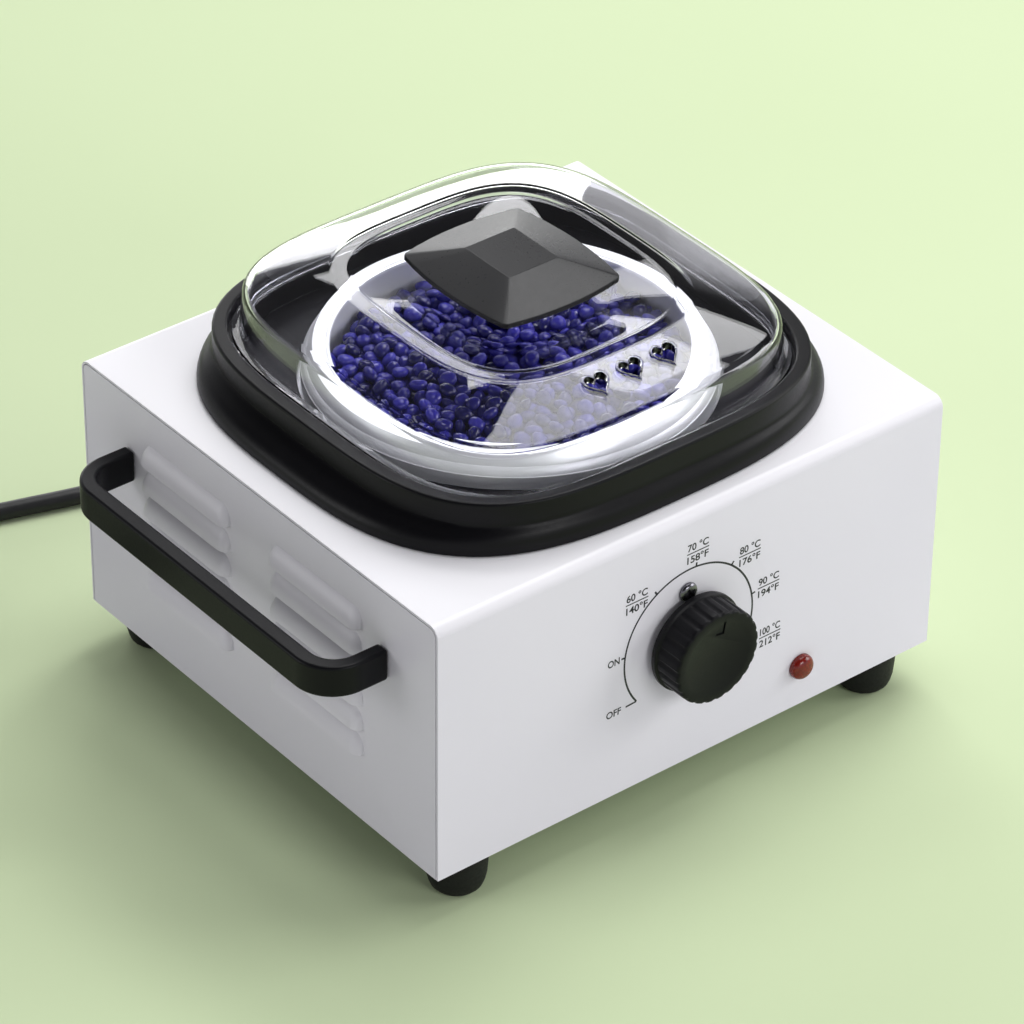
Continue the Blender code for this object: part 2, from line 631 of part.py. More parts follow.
def side_panel(name, side):
    """A side panel with turned-in edges and two columns of louvres, drilled where it has the handle."""
    shape = bmesh.new()
    outer = fold_profile(SHEET + SEAM)
    inner = fold_profile(SHEET + SEAM + SHEET)
    depths = (HALF_WIDTH, HALF_WIDTH - PANEL_FLANGE, HALF_WIDTH - PANEL_FLANGE, HALF_WIDTH - SHEET)
    stations = []
    for a, b in zip(outer, inner):
        corners = zip(depths, (a, a, b, b))
        stations.append([shape.verts.new((side * x, y, z)) for x, (y, z) in corners])
    for near, far in zip(stations, stations[1:]):
        for i in range(3):
            shape.faces.new((near[i], near[i + 1], far[i + 1], far[i]))
    shape.faces.new([station[0] for station in stations])
    shape.faces.new([station[3] for station in reversed(stations)])
    shape.faces.new(stations[0])
    shape.faces.new(reversed(stations[-1]))
    shape.faces.new((stations[0][0], stations[-1][0], stations[-1][3], stations[0][3]))
    panel = add_part(name, shape, ((0.78, 0.78, 0.79), 0.42))
    hoods, slots = bmesh.new(), bmesh.new()
    for column in (-LOUVRE_COLUMN_SPACING / 2, LOUVRE_COLUMN_SPACING / 2):
        for row in range(LOUVRE_ROWS):
            lip = CASING_HEIGHT - LOUVRE_TOP_DROP - row * LOUVRE_PITCH
            louvre(hoods, side, column + LOUVRE_SHIFT, lip, 0)
            louvre(slots, side, column + LOUVRE_SHIFT, lip, SHEET)
    cut(panel, hoods, "UNION")
    cut(panel, slots)
    if side == HANDLE_SIDE:
        holes = bmesh.new()
        for leg in (-handle_leg_y(), handle_leg_y()):
            start = Vector((side * (HALF_WIDTH - SHEET - OVERRUN), leg, handle_screw_height()))
            radius = HANDLE_SCREW_RADIUS + SCREW_HOLE_CLEARANCE
            peg(holes, radius, start, (side, 0, 0), SHEET + 2 * OVERRUN, 12)
        cut(panel, holes)


def base_plate():
    """The bottom sheet between the panels' turned-in edges, with holes for the feet's screws."""
    x = HALF_WIDTH - SHEET - TOUCH
    y = HALF_DEPTH - 2 * SHEET - SEAM - TOUCH
    shape = bmesh.new()
    block(shape, (-x, -y, 0), (x, y, SHEET))
    plate = add_part("base_plate", shape, ((0.55, 0.56, 0.57), 0.40, 0.8), round_part=False)
    holes = bmesh.new()
    for place in foot_places().values():
        radius = FOOT_SCREW_RADIUS + BORE_CLEARANCE
        peg(holes, radius, Vector((*place, -OVERRUN)), UP, SHEET + 2 * OVERRUN, 12)
    cut(plate, holes)


def feet():
    """Four tapered rubber feet, each with a recess for its screw."""
    bore = FOOT_SCREW_RADIUS + BORE_CLEARANCE
    for corner, (x, y) in foot_places().items():
        profile = [(FOOT_RADIUS * r, -TOUCH - (FOOT_HEIGHT - TOUCH) * h) for h, r in FOOT_SIDE_SHARES]
        profile += [(FOOT_FLAT_RADIUS, -FOOT_HEIGHT), (FOOT_RECESS_RADIUS, -FOOT_HEIGHT)]
        profile += [(FOOT_RECESS_RADIUS, -FOOT_HEIGHT + FOOT_RECESS_DEPTH)]
        profile += [(bore, -FOOT_HEIGHT + FOOT_RECESS_DEPTH), (bore, -TOUCH)]
        shape = bmesh.new()
        turn(shape, profile, (x, y, 0), points=16, looped=True)
        add_part("foot_" + corner, shape, ((0.020, 0.020, 0.022), 0.55), at=(x, y, 0))
        shape = bmesh.new()
        seat = -FOOT_HEIGHT + FOOT_RECESS_DEPTH - TOUCH
        reach = SHEET + FOOT_SCREW_REACH - seat
        screw(shape, FOOT_SCREW_RADIUS, reach, FOOT_SCREW_HEAD_RADIUS, FOOT_SCREW_HEAD, (x, y, seat), UP)
        add_part("foot_screw_" + corner, shape, ((0.60, 0.60, 0.62), 0.35, 1.0), at=(x, y, 0))


def handle():
    """A bent bar handle that stands off its side panel, with a blind screw hole in each leg."""
    side = HANDLE_SIDE
    face = HALF_WIDTH + TOUCH
    outer = HALF_WIDTH + HANDLE_STANDOUT
    half = HANDLE_LENGTH / 2
    middle_z = HANDLE_BOTTOM + HANDLE_DEPTH / 2
    path = [(face, -half, 0, HANDLE_LEG)]
    for k in range(6):
        angle = math.pi / 2 * k / 5
        x = outer - HANDLE_BEND_RADIUS * (1 - math.sin(angle))
        y = -half + HANDLE_BEND_RADIUS * (1 - math.cos(angle))
        path.append((x, y, angle, HANDLE_LEG + (HANDLE_BAR - HANDLE_LEG) * k / 5))
    path += [(x, -y, math.pi - angle, thick) for x, y, angle, thick in reversed(path)]
    rings = []
    for x, y, angle, thick in path:
        inward = Vector((-math.sin(angle), math.cos(angle), 0))
        ring = []
        for outside, rise in ((True, -1), (True, 1), (False, 1), (False, -1)):
            eased = [(HANDLE_EDGE, 0), (0, HANDLE_EDGE)]
            if outside != (rise < 0):
                eased.reverse()
            for along, up in eased:
                across = along if outside else thick - along
                ring.append((across, rise * (HANDLE_DEPTH / 2 - up)))
        rings.append([Vector((x, y, middle_z + z)) + inward * a for a, z in ring])
    for ring in rings:
        for point in ring:
            point.x *= side
    shape = bmesh.new()
    loft(shape, rings)
    part = add_part("side_handle", shape, ((0.016, 0.016, 0.018), 0.35))
    holes = bmesh.new()
    for leg in (-handle_leg_y(), handle_leg_y()):
        start = Vector((side * (face - OVERRUN), leg, middle_z))
        radius = HANDLE_SCREW_RADIUS + BORE_CLEARANCE
        peg(holes, radius, start, (side, 0, 0), HANDLE_SCREW_REACH + 2 * OVERRUN, 12)
    cut(part, holes)


def handle_screws():
    """Two screws from inside the casing into the handle's legs."""
    side = HANDLE_SIDE
    for end, leg in (("front", -handle_leg_y()), ("rear", handle_leg_y())):
        seat = Vector((side * (HALF_WIDTH - SHEET - TOUCH), leg, handle_screw_height()))
        shape = bmesh.new()
        reach = SHEET + TOUCH + HANDLE_SCREW_REACH
        screw(shape, HANDLE_SCREW_RADIUS, reach, SCREW_HEAD_RADIUS, SCREW_HEAD, seat, (side, 0, 0))
        add_part("handle_screw_" + end, shape, ((0.60, 0.60, 0.62), 0.35, 1.0), at=seat)


def collar():
    """The two-tier black moulding: flange, groove and rim outside, ledge and recess inside."""
    height = COLLAR_HEIGHT
    rings = [
        superellipse(between(COLLAR_FLANGE, COLLAR_RIM, inward), COLLAR_BOTTOM + height * up)
        for up, inward in COLLAR_SIDE_SHARES
    ]
    ledge = COLLAR_TOP - COLLAR_LEDGE_DROP
    under = COLLAR_FLOOR - COLLAR_FLOOR_THICKNESS
    rings += [
        superellipse(COLLAR_RIM, COLLAR_TOP - COLLAR_EDGE),
        superellipse(COLLAR_RIM, COLLAR_TOP, COLLAR_EDGE),
        superellipse(COLLAR_RECESS, COLLAR_TOP, -COLLAR_EDGE),
        superellipse(COLLAR_RECESS, COLLAR_TOP - COLLAR_EDGE),
        superellipse(COLLAR_RECESS, ledge),
        superellipse(COLLAR_RECESS, ledge, COLLAR_LEDGE_WIDTH),
        superellipse(COLLAR_RECESS, COLLAR_FLOOR, COLLAR_LEDGE_WIDTH),
        superellipse(circle_outline(COLLAR_HOLE_RADIUS), COLLAR_FLOOR),
        superellipse(circle_outline(COLLAR_HOLE_RADIUS), under),
        superellipse(COLLAR_RECESS, under, -COLLAR_EDGE),
        superellipse(COLLAR_RECESS, COLLAR_FLOOR, -COLLAR_EDGE),
        superellipse(COLLAR_FLANGE, COLLAR_FLOOR, COLLAR_WALL),
        superellipse(COLLAR_FLANGE, COLLAR_BOTTOM, COLLAR_WALL),
    ]
    shape = bmesh.new()
    loft(shape, rings, looped=True)
    part = add_part("collar", shape, ((0.016, 0.016, 0.020), 0.38))
    holes = bmesh.new()
    for x, y in chamber_screw_places():
        radius = CHAMBER_SCREW_RADIUS + BORE_CLEARANCE
        start = Vector((x, y, under - OVERRUN))
        peg(holes, radius, start, UP, OVERRUN + CHAMBER_SCREW_GRIP + BORE_CLEARANCE, 12)
    cut(part, holes)


def heating_chamber():
    """The aluminium well that hangs by its flange between casing top and collar."""
    bore, outside = CHAMBER_BORE_RADIUS, CHAMBER_RADIUS
    flange_under = CHAMBER_TOP - CHAMBER_FLANGE
    profile = (
        (bore - CHAMBER_CORNER, CHAMBER_FLOOR),
        (bore, CHAMBER_FLOOR + CHAMBER_CORNER),
        (bore, CHAMBER_TOP),
        (CHAMBER_FLANGE_RADIUS, CHAMBER_TOP),
        (CHAMBER_FLANGE_RADIUS, flange_under),
        (outside, flange_under),
        (outside, CHAMBER_FLOOR + CHAMBER_CORNER),
        (bore - CHAMBER_CORNER, CHAMBER_FLOOR - CHAMBER_WALL),
    )
    shape = bmesh.new()
    turn(shape, profile, (0, 0, 0))
    part = add_part("heating_chamber", shape, ((0.70, 0.71, 0.72), 0.35, 1.0))
    holes = bmesh.new()
    for x, y in chamber_screw_places():
        radius = CHAMBER_SCREW_RADIUS + SCREW_HOLE_CLEARANCE
        start = Vector((x, y, flange_under - OVERRUN))
        peg(holes, radius, start, UP, CHAMBER_FLANGE + 2 * OVERRUN, 12)
    cut(part, holes)
    for number, (x, y) in enumerate(chamber_screw_places(), 1):
        seat = Vector((x, y, CASING_HEIGHT - SHEET - TOUCH))
        reach = COLLAR_FLOOR - COLLAR_FLOOR_THICKNESS + CHAMBER_SCREW_GRIP - seat.z
        shape = bmesh.new()
        screw(shape, CHAMBER_SCREW_RADIUS, reach, SCREW_HEAD_RADIUS, SCREW_HEAD, seat, UP)
        add_part(f"chamber_screw_{number}", shape, ((0.60, 0.60, 0.62), 0.35, 1.0), at=seat)


def sleeve(name, inside, thickness, bottom, height, finish):
    """A plain ring round the chamber."""
    top = bottom + height
    profile = ((inside, bottom), (inside, top), (inside + thickness, top), (inside + thickness, bottom))
    shape = bmesh.new()
    turn(shape, profile, (0, 0, 0), points=TURNED_POINTS, looped=True)
    add_part(name, shape, finish)


def heater():
    """Band heater, felt jacket, and the cut-out under the chamber's floor."""
    band = CHAMBER_RADIUS + TOUCH
    jacket = band + BAND_THICKNESS + TOUCH
    mica, felt = ((0.42, 0.36, 0.28), 0.55, 0.6), ((0.78, 0.76, 0.70), 0.9)
    sleeve("heating_band", band, BAND_THICKNESS, BAND_BOTTOM, BAND_HEIGHT, mica)
    sleeve("insulation_jacket", jacket, JACKET_THICKNESS, JACKET_BOTTOM, JACKET_HEIGHT, felt)
    top = CHAMBER_FLOOR - CHAMBER_WALL - TOUCH
    shape = bmesh.new()
    peg(shape, CUTOUT_RADIUS, Vector((*CUTOUT_PLACE, top)), -UP, CUTOUT_HEIGHT)
    add_part("thermal_cutout", shape, ((0.10, 0.10, 0.11), 0.5))


def pot_floor():
    """The height of the pot's underside."""
    return CHAMBER_FLOOR + POT_GAP_BELOW


def inner_pot():
    """The lift-out pot: a flat crown with an inward lip and a flared skirt that rests on the chamber's flange."""
    opening, wall, outside = POT_OPENING_RADIUS, POT_WALL, POT_OUTSIDE_RADIUS
    lip, crown = POT_OPENING_RADIUS - POT_LIP, POT_CROWN_RADIUS
    floor = pot_floor()
    foot = CHAMBER_TOP + TOUCH
    flare = POT_RIM_TOP - (POT_RIM_TOP - foot) / 2
    profile = (
        (opening - POT_CORNER, floor + wall),
        (opening - wall, floor + wall + POT_CORNER / 3),
        (opening, floor + wall + POT_CORNER),
        (opening, POT_RIM_TOP - 2 * wall),
        (lip, POT_RIM_TOP - 2 * wall),
        (lip, POT_RIM_TOP - POT_RIM_EDGE),
        (lip + POT_RIM_EDGE, POT_RIM_TOP),
        (crown - POT_RIM_EDGE, POT_RIM_TOP),
        (crown, POT_RIM_TOP - POT_RIM_EDGE),
        (POT_SKIRT_RADIUS, flare),
        (POT_SKIRT_RADIUS, foot),
        (POT_SKIRT_RADIUS - POT_SKIRT_WALL, foot),
        (POT_SKIRT_RADIUS - POT_SKIRT_WALL, flare),
        (outside, POT_RIM_TOP - wall - POT_SKIRT_WALL),
        (outside, floor + POT_CORNER),
        (opening - POT_CORNER, floor),
    )
    shape = bmesh.new()
    turn(shape, profile, (0, 0, 0))
    add_part("inner_pot", shape, ((0.82, 0.82, 0.83), 0.22, 1.0))


def wax_beads():
    """The fill of wax beads as one body: it follows the pot's inside and is mounded on top."""
    radius = POT_OPENING_RADIUS - TOUCH
    floor = pot_floor() + POT_WALL + TOUCH
    profile = (
        (radius - POT_CORNER, floor),
        (radius - POT_WALL, floor + POT_CORNER / 3),
        (radius, floor + POT_CORNER),
        (radius, WAX_FILL - WAX_MOUND),
        (radius * 0.8, WAX_FILL - WAX_MOUND / 2),
        (radius * 0.4, WAX_FILL),
    )
    shape = bmesh.new()
    turn(shape, profile, (0, 0, 0), points=24)
    add_part("wax_beads", shape, ((0.030, 0.028, 0.16), 0.25))


def lid_slope_height(forward):
    """The height of the lid's front slope, between plateau and shoulder, so far in front of the middle."""
    crest, foot = LID_PLATEAU_HALF[1], LID_SHOULDER_HALF[1] - LID_SHOULDER_EDGE
    fall = (forward - crest) / (foot - crest)
    return LID_BOTTOM + LID_PLATEAU_HEIGHT - LID_PLATEAU_RISE * fall


def heart(middle, scale):
    """A heart outline with its tip towards the front, about a middle point."""
    outline = []
    for k in range(VENT_POINTS):
        t = math.tau * k / VENT_POINTS
        across = math.sin(t) ** 3
        along = (13 * math.cos(t) - 5 * math.cos(2 * t) - 2 * math.cos(3 * t) - math.cos(4 * t)) / 16
        outline.append(Vector((middle.x + across * scale / 2, middle.y + along * scale / 2, 0)))
    return outline


def vent(shape, middle, scale, below, above):
    """A heart-shaped prism that stands square through the lid's front slope."""
    rings = []
    for lift in (-below, above):
        ring = [Vector((p.x, p.y, lid_slope_height(-p.y) + lift)) for p in heart(middle, scale)]
        rings.append(ring)
    loft(shape, rings)


def lid_shell():
    """The clear lid: a lip, a tall skirt, a shoulder, a raised plateau ring and a dished middle."""
    bottom, wall = LID_BOTTOM, LID_WALL
    shoulder = bottom + LID_SHOULDER_HEIGHT
    plateau = bottom + LID_PLATEAU_HEIGHT
    dish = bottom + LID_DISH_HEIGHT
    boss = bottom + LID_BOSS_HEIGHT
    edge = LID_SHOULDER_EDGE
    bore = circle_outline(LID_SCREW_RADIUS + BORE_CLEARANCE)
    rings = [
        superellipse(LID_LIP, bottom),
        superellipse(LID_LIP, bottom + LID_LIP_HEIGHT),
        superellipse(LID_SKIRT, bottom + LID_LIP_HEIGHT),
        superellipse(LID_SHOULDER, shoulder - edge),
        superellipse(LID_SHOULDER, shoulder, edge),
        superellipse(LID_PLATEAU, plateau),
        superellipse(LID_PLATEAU, plateau, LID_PLATEAU_WIDTH),
        superellipse(LID_DISH, dish),
        superellipse(circle_outline(LID_BOSS_RADIUS), boss),
        superellipse(bore, boss),
        superellipse(bore, boss - wall),
        superellipse(circle_outline(LID_BOSS_RADIUS), boss - wall),
        superellipse(LID_DISH, dish - wall),
        superellipse(LID_PLATEAU, plateau - wall, LID_PLATEAU_WIDTH),
        superellipse(LID_PLATEAU, plateau - wall),
        superellipse(LID_SHOULDER, shoulder - wall, edge + wall / 2),
        superellipse(LID_SHOULDER, shoulder - edge - wall / 2, wall),
        superellipse(LID_SKIRT, bottom, wall),
    ]
    shape = bmesh.new()
    loft(shape, rings, looped=True)
    part = add_part("lid_shell", shape, ((0.90, 0.92, 0.95), 0.06, 0.0, 0.30))
    rims, holes = bmesh.new(), bmesh.new()
    for k in range(VENT_COUNT):
        middle = Vector(((k - (VENT_COUNT - 1) / 2) * VENT_PITCH, -VENT_FORWARD, 0))
        vent(rims, middle, VENT_WIDTH + 2 * VENT_RIM, wall / 2, VENT_RIM_PROUD)
        vent(holes, middle, VENT_WIDTH, wall + OVERRUN, VENT_RIM_PROUD + OVERRUN)
    cut(part, rims, "UNION")
    cut(part, holes)


def bowed_square(half, bow, corner, height):
    """A square ring whose four sides bow outwards between corners that a small step cuts off."""
    half_x, half_y = half
    ring = []
    for quarter in range(4):
        along, out = (half_x, half_y) if quarter % 2 == 0 else (half_y, half_x)
        turned = Matrix.Rotation(quarter * math.pi / 2, 3, "Z")
        for share in LID_KNOB_SIDE_SHARES:
            point = turned @ Vector(((along - bow - corner) * share, bow * share**2 - out, 0))
            ring.append(Vector((point.x, point.y, height)))
    return ring


def lid_knob():
    """The faceted knob on its neck, with a blind hole for the screw from inside the lid."""
    neck_top = KNOB_BOTTOM + LID_KNOB_NECK
    rim_bottom = neck_top + LID_KNOB_UNDERSIDE
    rim_top = rim_bottom + LID_KNOB_RIM
    hole = LID_SCREW_RADIUS + BORE_CLEARANCE
    hole_top = KNOB_BOTTOM + LID_SCREW_REACH + BORE_CLEARANCE
    count = 4 * len(LID_KNOB_SIDE_SHARES)
    start = math.atan2(-LID_KNOB_HALF[1], LID_KNOB_HALF[0] * LID_KNOB_SIDE_SHARES[0])

    def round_ring(radius, height):
        steps = [start + math.tau * k / count for k in range(count)]
        return [Vector((radius * math.cos(t), radius * math.sin(t), height)) for t in steps]

    rings = [
        round_ring(hole, hole_top),
        round_ring(hole, KNOB_BOTTOM),
        round_ring(LID_KNOB_NECK_RADIUS, KNOB_BOTTOM),
        round_ring(LID_KNOB_NECK_RADIUS, neck_top),
        bowed_square(LID_KNOB_UNDERSIDE_HALF, LID_KNOB_BOW, LID_KNOB_CORNER, neck_top),
        bowed_square(LID_KNOB_HALF, LID_KNOB_BOW, LID_KNOB_CORNER, rim_bottom),
        bowed_square(LID_KNOB_HALF, LID_KNOB_BOW, LID_KNOB_CORNER, rim_top),
        bowed_square(LID_KNOB_FACET_HALF, 0, LID_KNOB_FACET_CORNER, rim_top + LID_KNOB_FACET_RISE),
    ]
    shape = bmesh.new()
    loft(shape, rings)
    add_part("lid_knob", shape, ((0.060, 0.060, 0.064), 0.30), round_part=False)
    shape = bmesh.new()
    seat = Vector((0, 0, LID_BOTTOM + LID_BOSS_HEIGHT - LID_WALL - TOUCH))
    reach = LID_WALL + 2 * TOUCH + LID_SCREW_REACH
    screw(shape, LID_SCREW_RADIUS, reach, SCREW_HEAD_RADIUS, SCREW_HEAD, seat, UP)
    add_part("lid_knob_screw", shape, ((0.60, 0.60, 0.62), 0.30, 1.0))


def thermostat():
    """Thermostat body with its mounting plate, drilled for shaft and screws, and its sensing bulb."""
    start = FRONT_PANEL + SHEET + TOUCH
    plate_x, plate_y = THERMOSTAT_PLATE
    plate_z = PANEL_SCREW_SPACING / 2 + THERMOSTAT_PLATE_MARGIN
    body_x, body_z, body_y = THERMOSTAT_BODY
    middle_x, middle_z = DIAL_CENTRE
    rings = []
    for half_x, half_z, y in (
        (plate_x, plate_z, start),
        (plate_x, plate_z, start + plate_y),
        (body_x, body_z, start + plate_y),
        (body_x, body_z, start + plate_y + body_y),
    ):
        corners = ((-1, -1), (1, -1), (1, 1), (-1, 1))
        rings.append([Vector((middle_x + i * half_x, y, middle_z + j * half_z)) for i, j in corners])
    shape = bmesh.new()
    loft(shape, rings)
    part = add_part("thermostat_body", shape, ((0.45, 0.45, 0.46), 0.4, 0.7), round_part=False)
    holes = bmesh.new()
    depth = start - FRONT_PANEL + SHAFT_IN_BODY + BORE_CLEARANCE
    peg(holes, SHAFT_RADIUS + BORE_CLEARANCE, dial_point(OVERRUN), BACKWARD, OVERRUN + depth)
    for place in panel_screw_places():
        reach = OVERRUN + start - FRONT_PANEL + PANEL_SCREW_REACH + BORE_CLEARANCE
        peg(holes, PANEL_SCREW_RADIUS + BORE_CLEARANCE, place - BACKWARD * OVERRUN, BACKWARD, reach, 12)
    cut(part, holes)


def thermostat_middle_y():
    """How far back the middle of the thermostat's body lies."""
    return FRONT_PANEL + SHEET + TOUCH + THERMOSTAT_PLATE[1] + THERMOSTAT_BODY[2] / 2


def thermostat_underside():
    """The level at which wires meet the underside of the thermostat's body."""
    return DIAL_CENTRE[1] - THERMOSTAT_BODY[1] - TOUCH


def sensing_bulb():
    """The bulb under the chamber's floor, and the fine tube from the thermostat to it."""
    level = CHAMBER_FLOOR - CHAMBER_WALL - TOUCH - BULB_RADIUS
    across = -CUTOUT_PLACE[0]
    start = Vector((across, -BULB_LENGTH / 2, level))
    shape = bmesh.new()
    peg(shape, BULB_RADIUS, start, BACKWARD, BULB_LENGTH, 12)
    add_part("thermostat_bulb", shape, ((0.62, 0.42, 0.28), 0.35, 1.0))
    out = Vector((feed_x() - CAPILLARY_FROM_FEED, thermostat_middle_y(), thermostat_underside()))
    under = -(CHAMBER_RADIUS - CAPILLARY_UNDER_CHAMBER)
    via = (
        (out.x - BULB_RADIUS, out.y + BULB_RADIUS, (out.z + level) / 2),
        (across, under, level + BULB_RADIUS),
        (across, under + 8 * BULB_RADIUS, level),
    )
    end = start - BACKWARD * TOUCH
    route = route_between(out, -UP, via, end, BACKWARD, CAPILLARY_RADIUS)
    route = smooth_route(route, BULB_RADIUS * 2)
    tube("capillary_tube", route, CAPILLARY_RADIUS, ((0.62, 0.42, 0.28), 0.35, 1.0), 1)


def thermostat_screws():
    """Two pan-head screws with crossed slots, which hold the thermostat to the front panel."""
    for word, place in zip(("upper", "lower"), panel_screw_places()):
        seat = place + FORWARD * TOUCH
        reach = SHEET + 2 * TOUCH + PANEL_SCREW_REACH
        shape = bmesh.new()
        pan_screw(shape, PANEL_SCREW_RADIUS, reach, PANEL_SCREW_HEAD_RADIUS, PANEL_SCREW_HEAD, seat, BACKWARD)
        part = add_part("thermostat_screw_" + word, shape, ((0.72, 0.72, 0.74), 0.25, 1.0), at=seat)
        if word == "upper":
            cut(part, crossed_slots(seat + FORWARD * PANEL_SCREW_HEAD))


def crossed_slots(face):
    """A cross-shaped cutter for a screw head, one closed body with twelve corners."""
    arm, half = PANEL_SCREW_SLOT_LENGTH / 2, PANEL_SCREW_SLOT_WIDTH / 2
    corners = []
    for quarter in range(4):
        turned = Matrix.Rotation(quarter * math.pi / 2, 3, "Y")
        for x, z in ((arm, -half), (arm, half), (half, half)):
            corners.append(turned @ Vector((x, 0, z)))
    corners.sort(key=lambda point: math.atan2(point.z, point.x))
    shape = bmesh.new()
    rings = []
    for depth in (-OVERRUN, PANEL_SCREW_SLOT_DEPTH):
        rings.append([face + BACKWARD * depth + corner for corner in corners])
    loft(shape, rings)
    return shape


def fluted_ring(radius, depth, forward):
    """A ring of the dial knob with a flute every few degrees, so far in front of the panel."""
    ring = []
    for k in range(DIAL_FLUTES * 3):
        angle = math.tau * (k + 0.5) / (DIAL_FLUTES * 3)
        reach = radius - (depth if k % 3 == 2 else 0)
        ring.append(dial_point(forward) + Vector((reach * math.cos(angle), 0, reach * math.sin(angle))))
    return ring


def dial_knob():
    """The fluted knob, bored for its shaft from behind, with a small angled pointer notch in its face."""
    back, front, edge = DIAL_KNOB_GAP, DIAL_KNOB_STANDOFF, DIAL_KNOB_EDGE
    skirt_front = back + DIAL_KNOB_SKIRT
    bore = SHAFT_RADIUS + BORE_CLEARANCE
    bore_end = back + SHAFT_IN_KNOB + BORE_CLEARANCE
    face = DIAL_KNOB_FACE_RADIUS
    rings = [
        fluted_ring(bore, 0, bore_end),
        fluted_ring(bore, 0, back),
        fluted_ring(DIAL_KNOB_RADIUS, 0, back),
        fluted_ring(DIAL_KNOB_RADIUS, 0, skirt_front),
        fluted_ring(face, DIAL_FLUTE_DEPTH, skirt_front + edge),
        fluted_ring(face, DIAL_FLUTE_DEPTH, front - edge),
        fluted_ring(face - edge, DIAL_FLUTE_DEPTH / 2, front),
    ]
    shape = bmesh.new()
    loft(shape, rings)
    pivot = dial_point(0)
    part = add_part("dial_knob", shape, ((0.018, 0.018, 0.020), 0.32), at=pivot, round_part=False)
    cut(part, pointer_notch(front))


def pointer_notch(front):
    """An L-shaped cutter near the dial knob's edge: a radial stroke with a short foot."""
    half, inner = DIAL_NOTCH_WIDTH / 2, DIAL_NOTCH_RADIUS - DIAL_NOTCH_LENGTH / 2
    outer = inner + DIAL_NOTCH_LENGTH
    outline = (
        (inner, -half),
        (outer, -half),
        (outer, half),
        (inner + DIAL_NOTCH_WIDTH, half),
        (inner + DIAL_NOTCH_WIDTH, half + DIAL_NOTCH_FOOT),
        (inner, half + DIAL_NOTCH_FOOT),
    )
    along = Vector((math.cos(DIAL_POINTER_ANGLE), 0, math.sin(DIAL_POINTER_ANGLE)))
    across = Vector((-along.z, 0, along.x))
    rings = []
    for forward in (front - DIAL_NOTCH_DEPTH, front + OVERRUN):
        rings.append([dial_point(forward) + along * a + across * b for a, b in outline])
    shape = bmesh.new()
    loft(shape, rings)
    return shape


def thermostat_shaft():
    """The shaft that the knob turns."""
    shape = bmesh.new()
    inner = SHEET + TOUCH + SHAFT_IN_BODY
    length = inner + DIAL_KNOB_GAP + SHAFT_IN_KNOB
    peg(shape, SHAFT_RADIUS, dial_point(-inner), FORWARD, length)
    add_part("thermostat_shaft", shape, ((0.62, 0.62, 0.64), 0.3, 1.0), at=dial_point(0))


def pilot_lamp():
    """A domed lens in front of the panel, the lamp behind it, and the clip that holds it."""
    face = Vector((LAMP_CENTRE[0], FRONT_PANEL - TOUCH, LAMP_CENTRE[1]))
    dome = [
        (LAMP_LENS_RADIUS * math.cos(a), LAMP_LENS_HEIGHT * (0.4 + 0.6 * math.sin(a)))
        for a in (math.radians(d) for d in (0, 25, 50, 75))
    ]
    profile = [(LAMP_STEM_RADIUS, -LAMP_STEM_LENGTH), (LAMP_STEM_RADIUS, 0), (LAMP_LENS_RADIUS, 0)] + dome
    shape = bmesh.new()
    turn(shape, profile, face, FORWARD, 16)
    add_part("pilot_lamp_lens", shape, ((0.62, 0.03, 0.02), 0.15))
    back = Vector((LAMP_CENTRE[0], FRONT_PANEL + SHEET + TOUCH, LAMP_CENTRE[1]))
    bore = LAMP_STEM_RADIUS + BORE_CLEARANCE
    bore_end = LAMP_STEM_LENGTH - SHEET
    profile = ((bore, bore_end), (bore, 0), (LAMP_BODY_RADIUS, 0), (LAMP_BODY_RADIUS, LAMP_BODY_LENGTH))
    shape = bmesh.new()
    turn(shape, profile, back, BACKWARD, 16)
    add_part("pilot_lamp_body", shape, ((0.85, 0.84, 0.80), 0.5))
    inside = LAMP_BODY_RADIUS + BORE_CLEARANCE
    profile = ((inside, 0), (inside, LAMP_CLIP), (LAMP_CLIP_RADIUS, LAMP_CLIP), (LAMP_CLIP_RADIUS, 0))
    shape = bmesh.new()
    turn(shape, profile, back, BACKWARD, 16, looped=True)
    add_part("pilot_lamp_clip", shape, ((0.60, 0.60, 0.62), 0.35, 1.0))


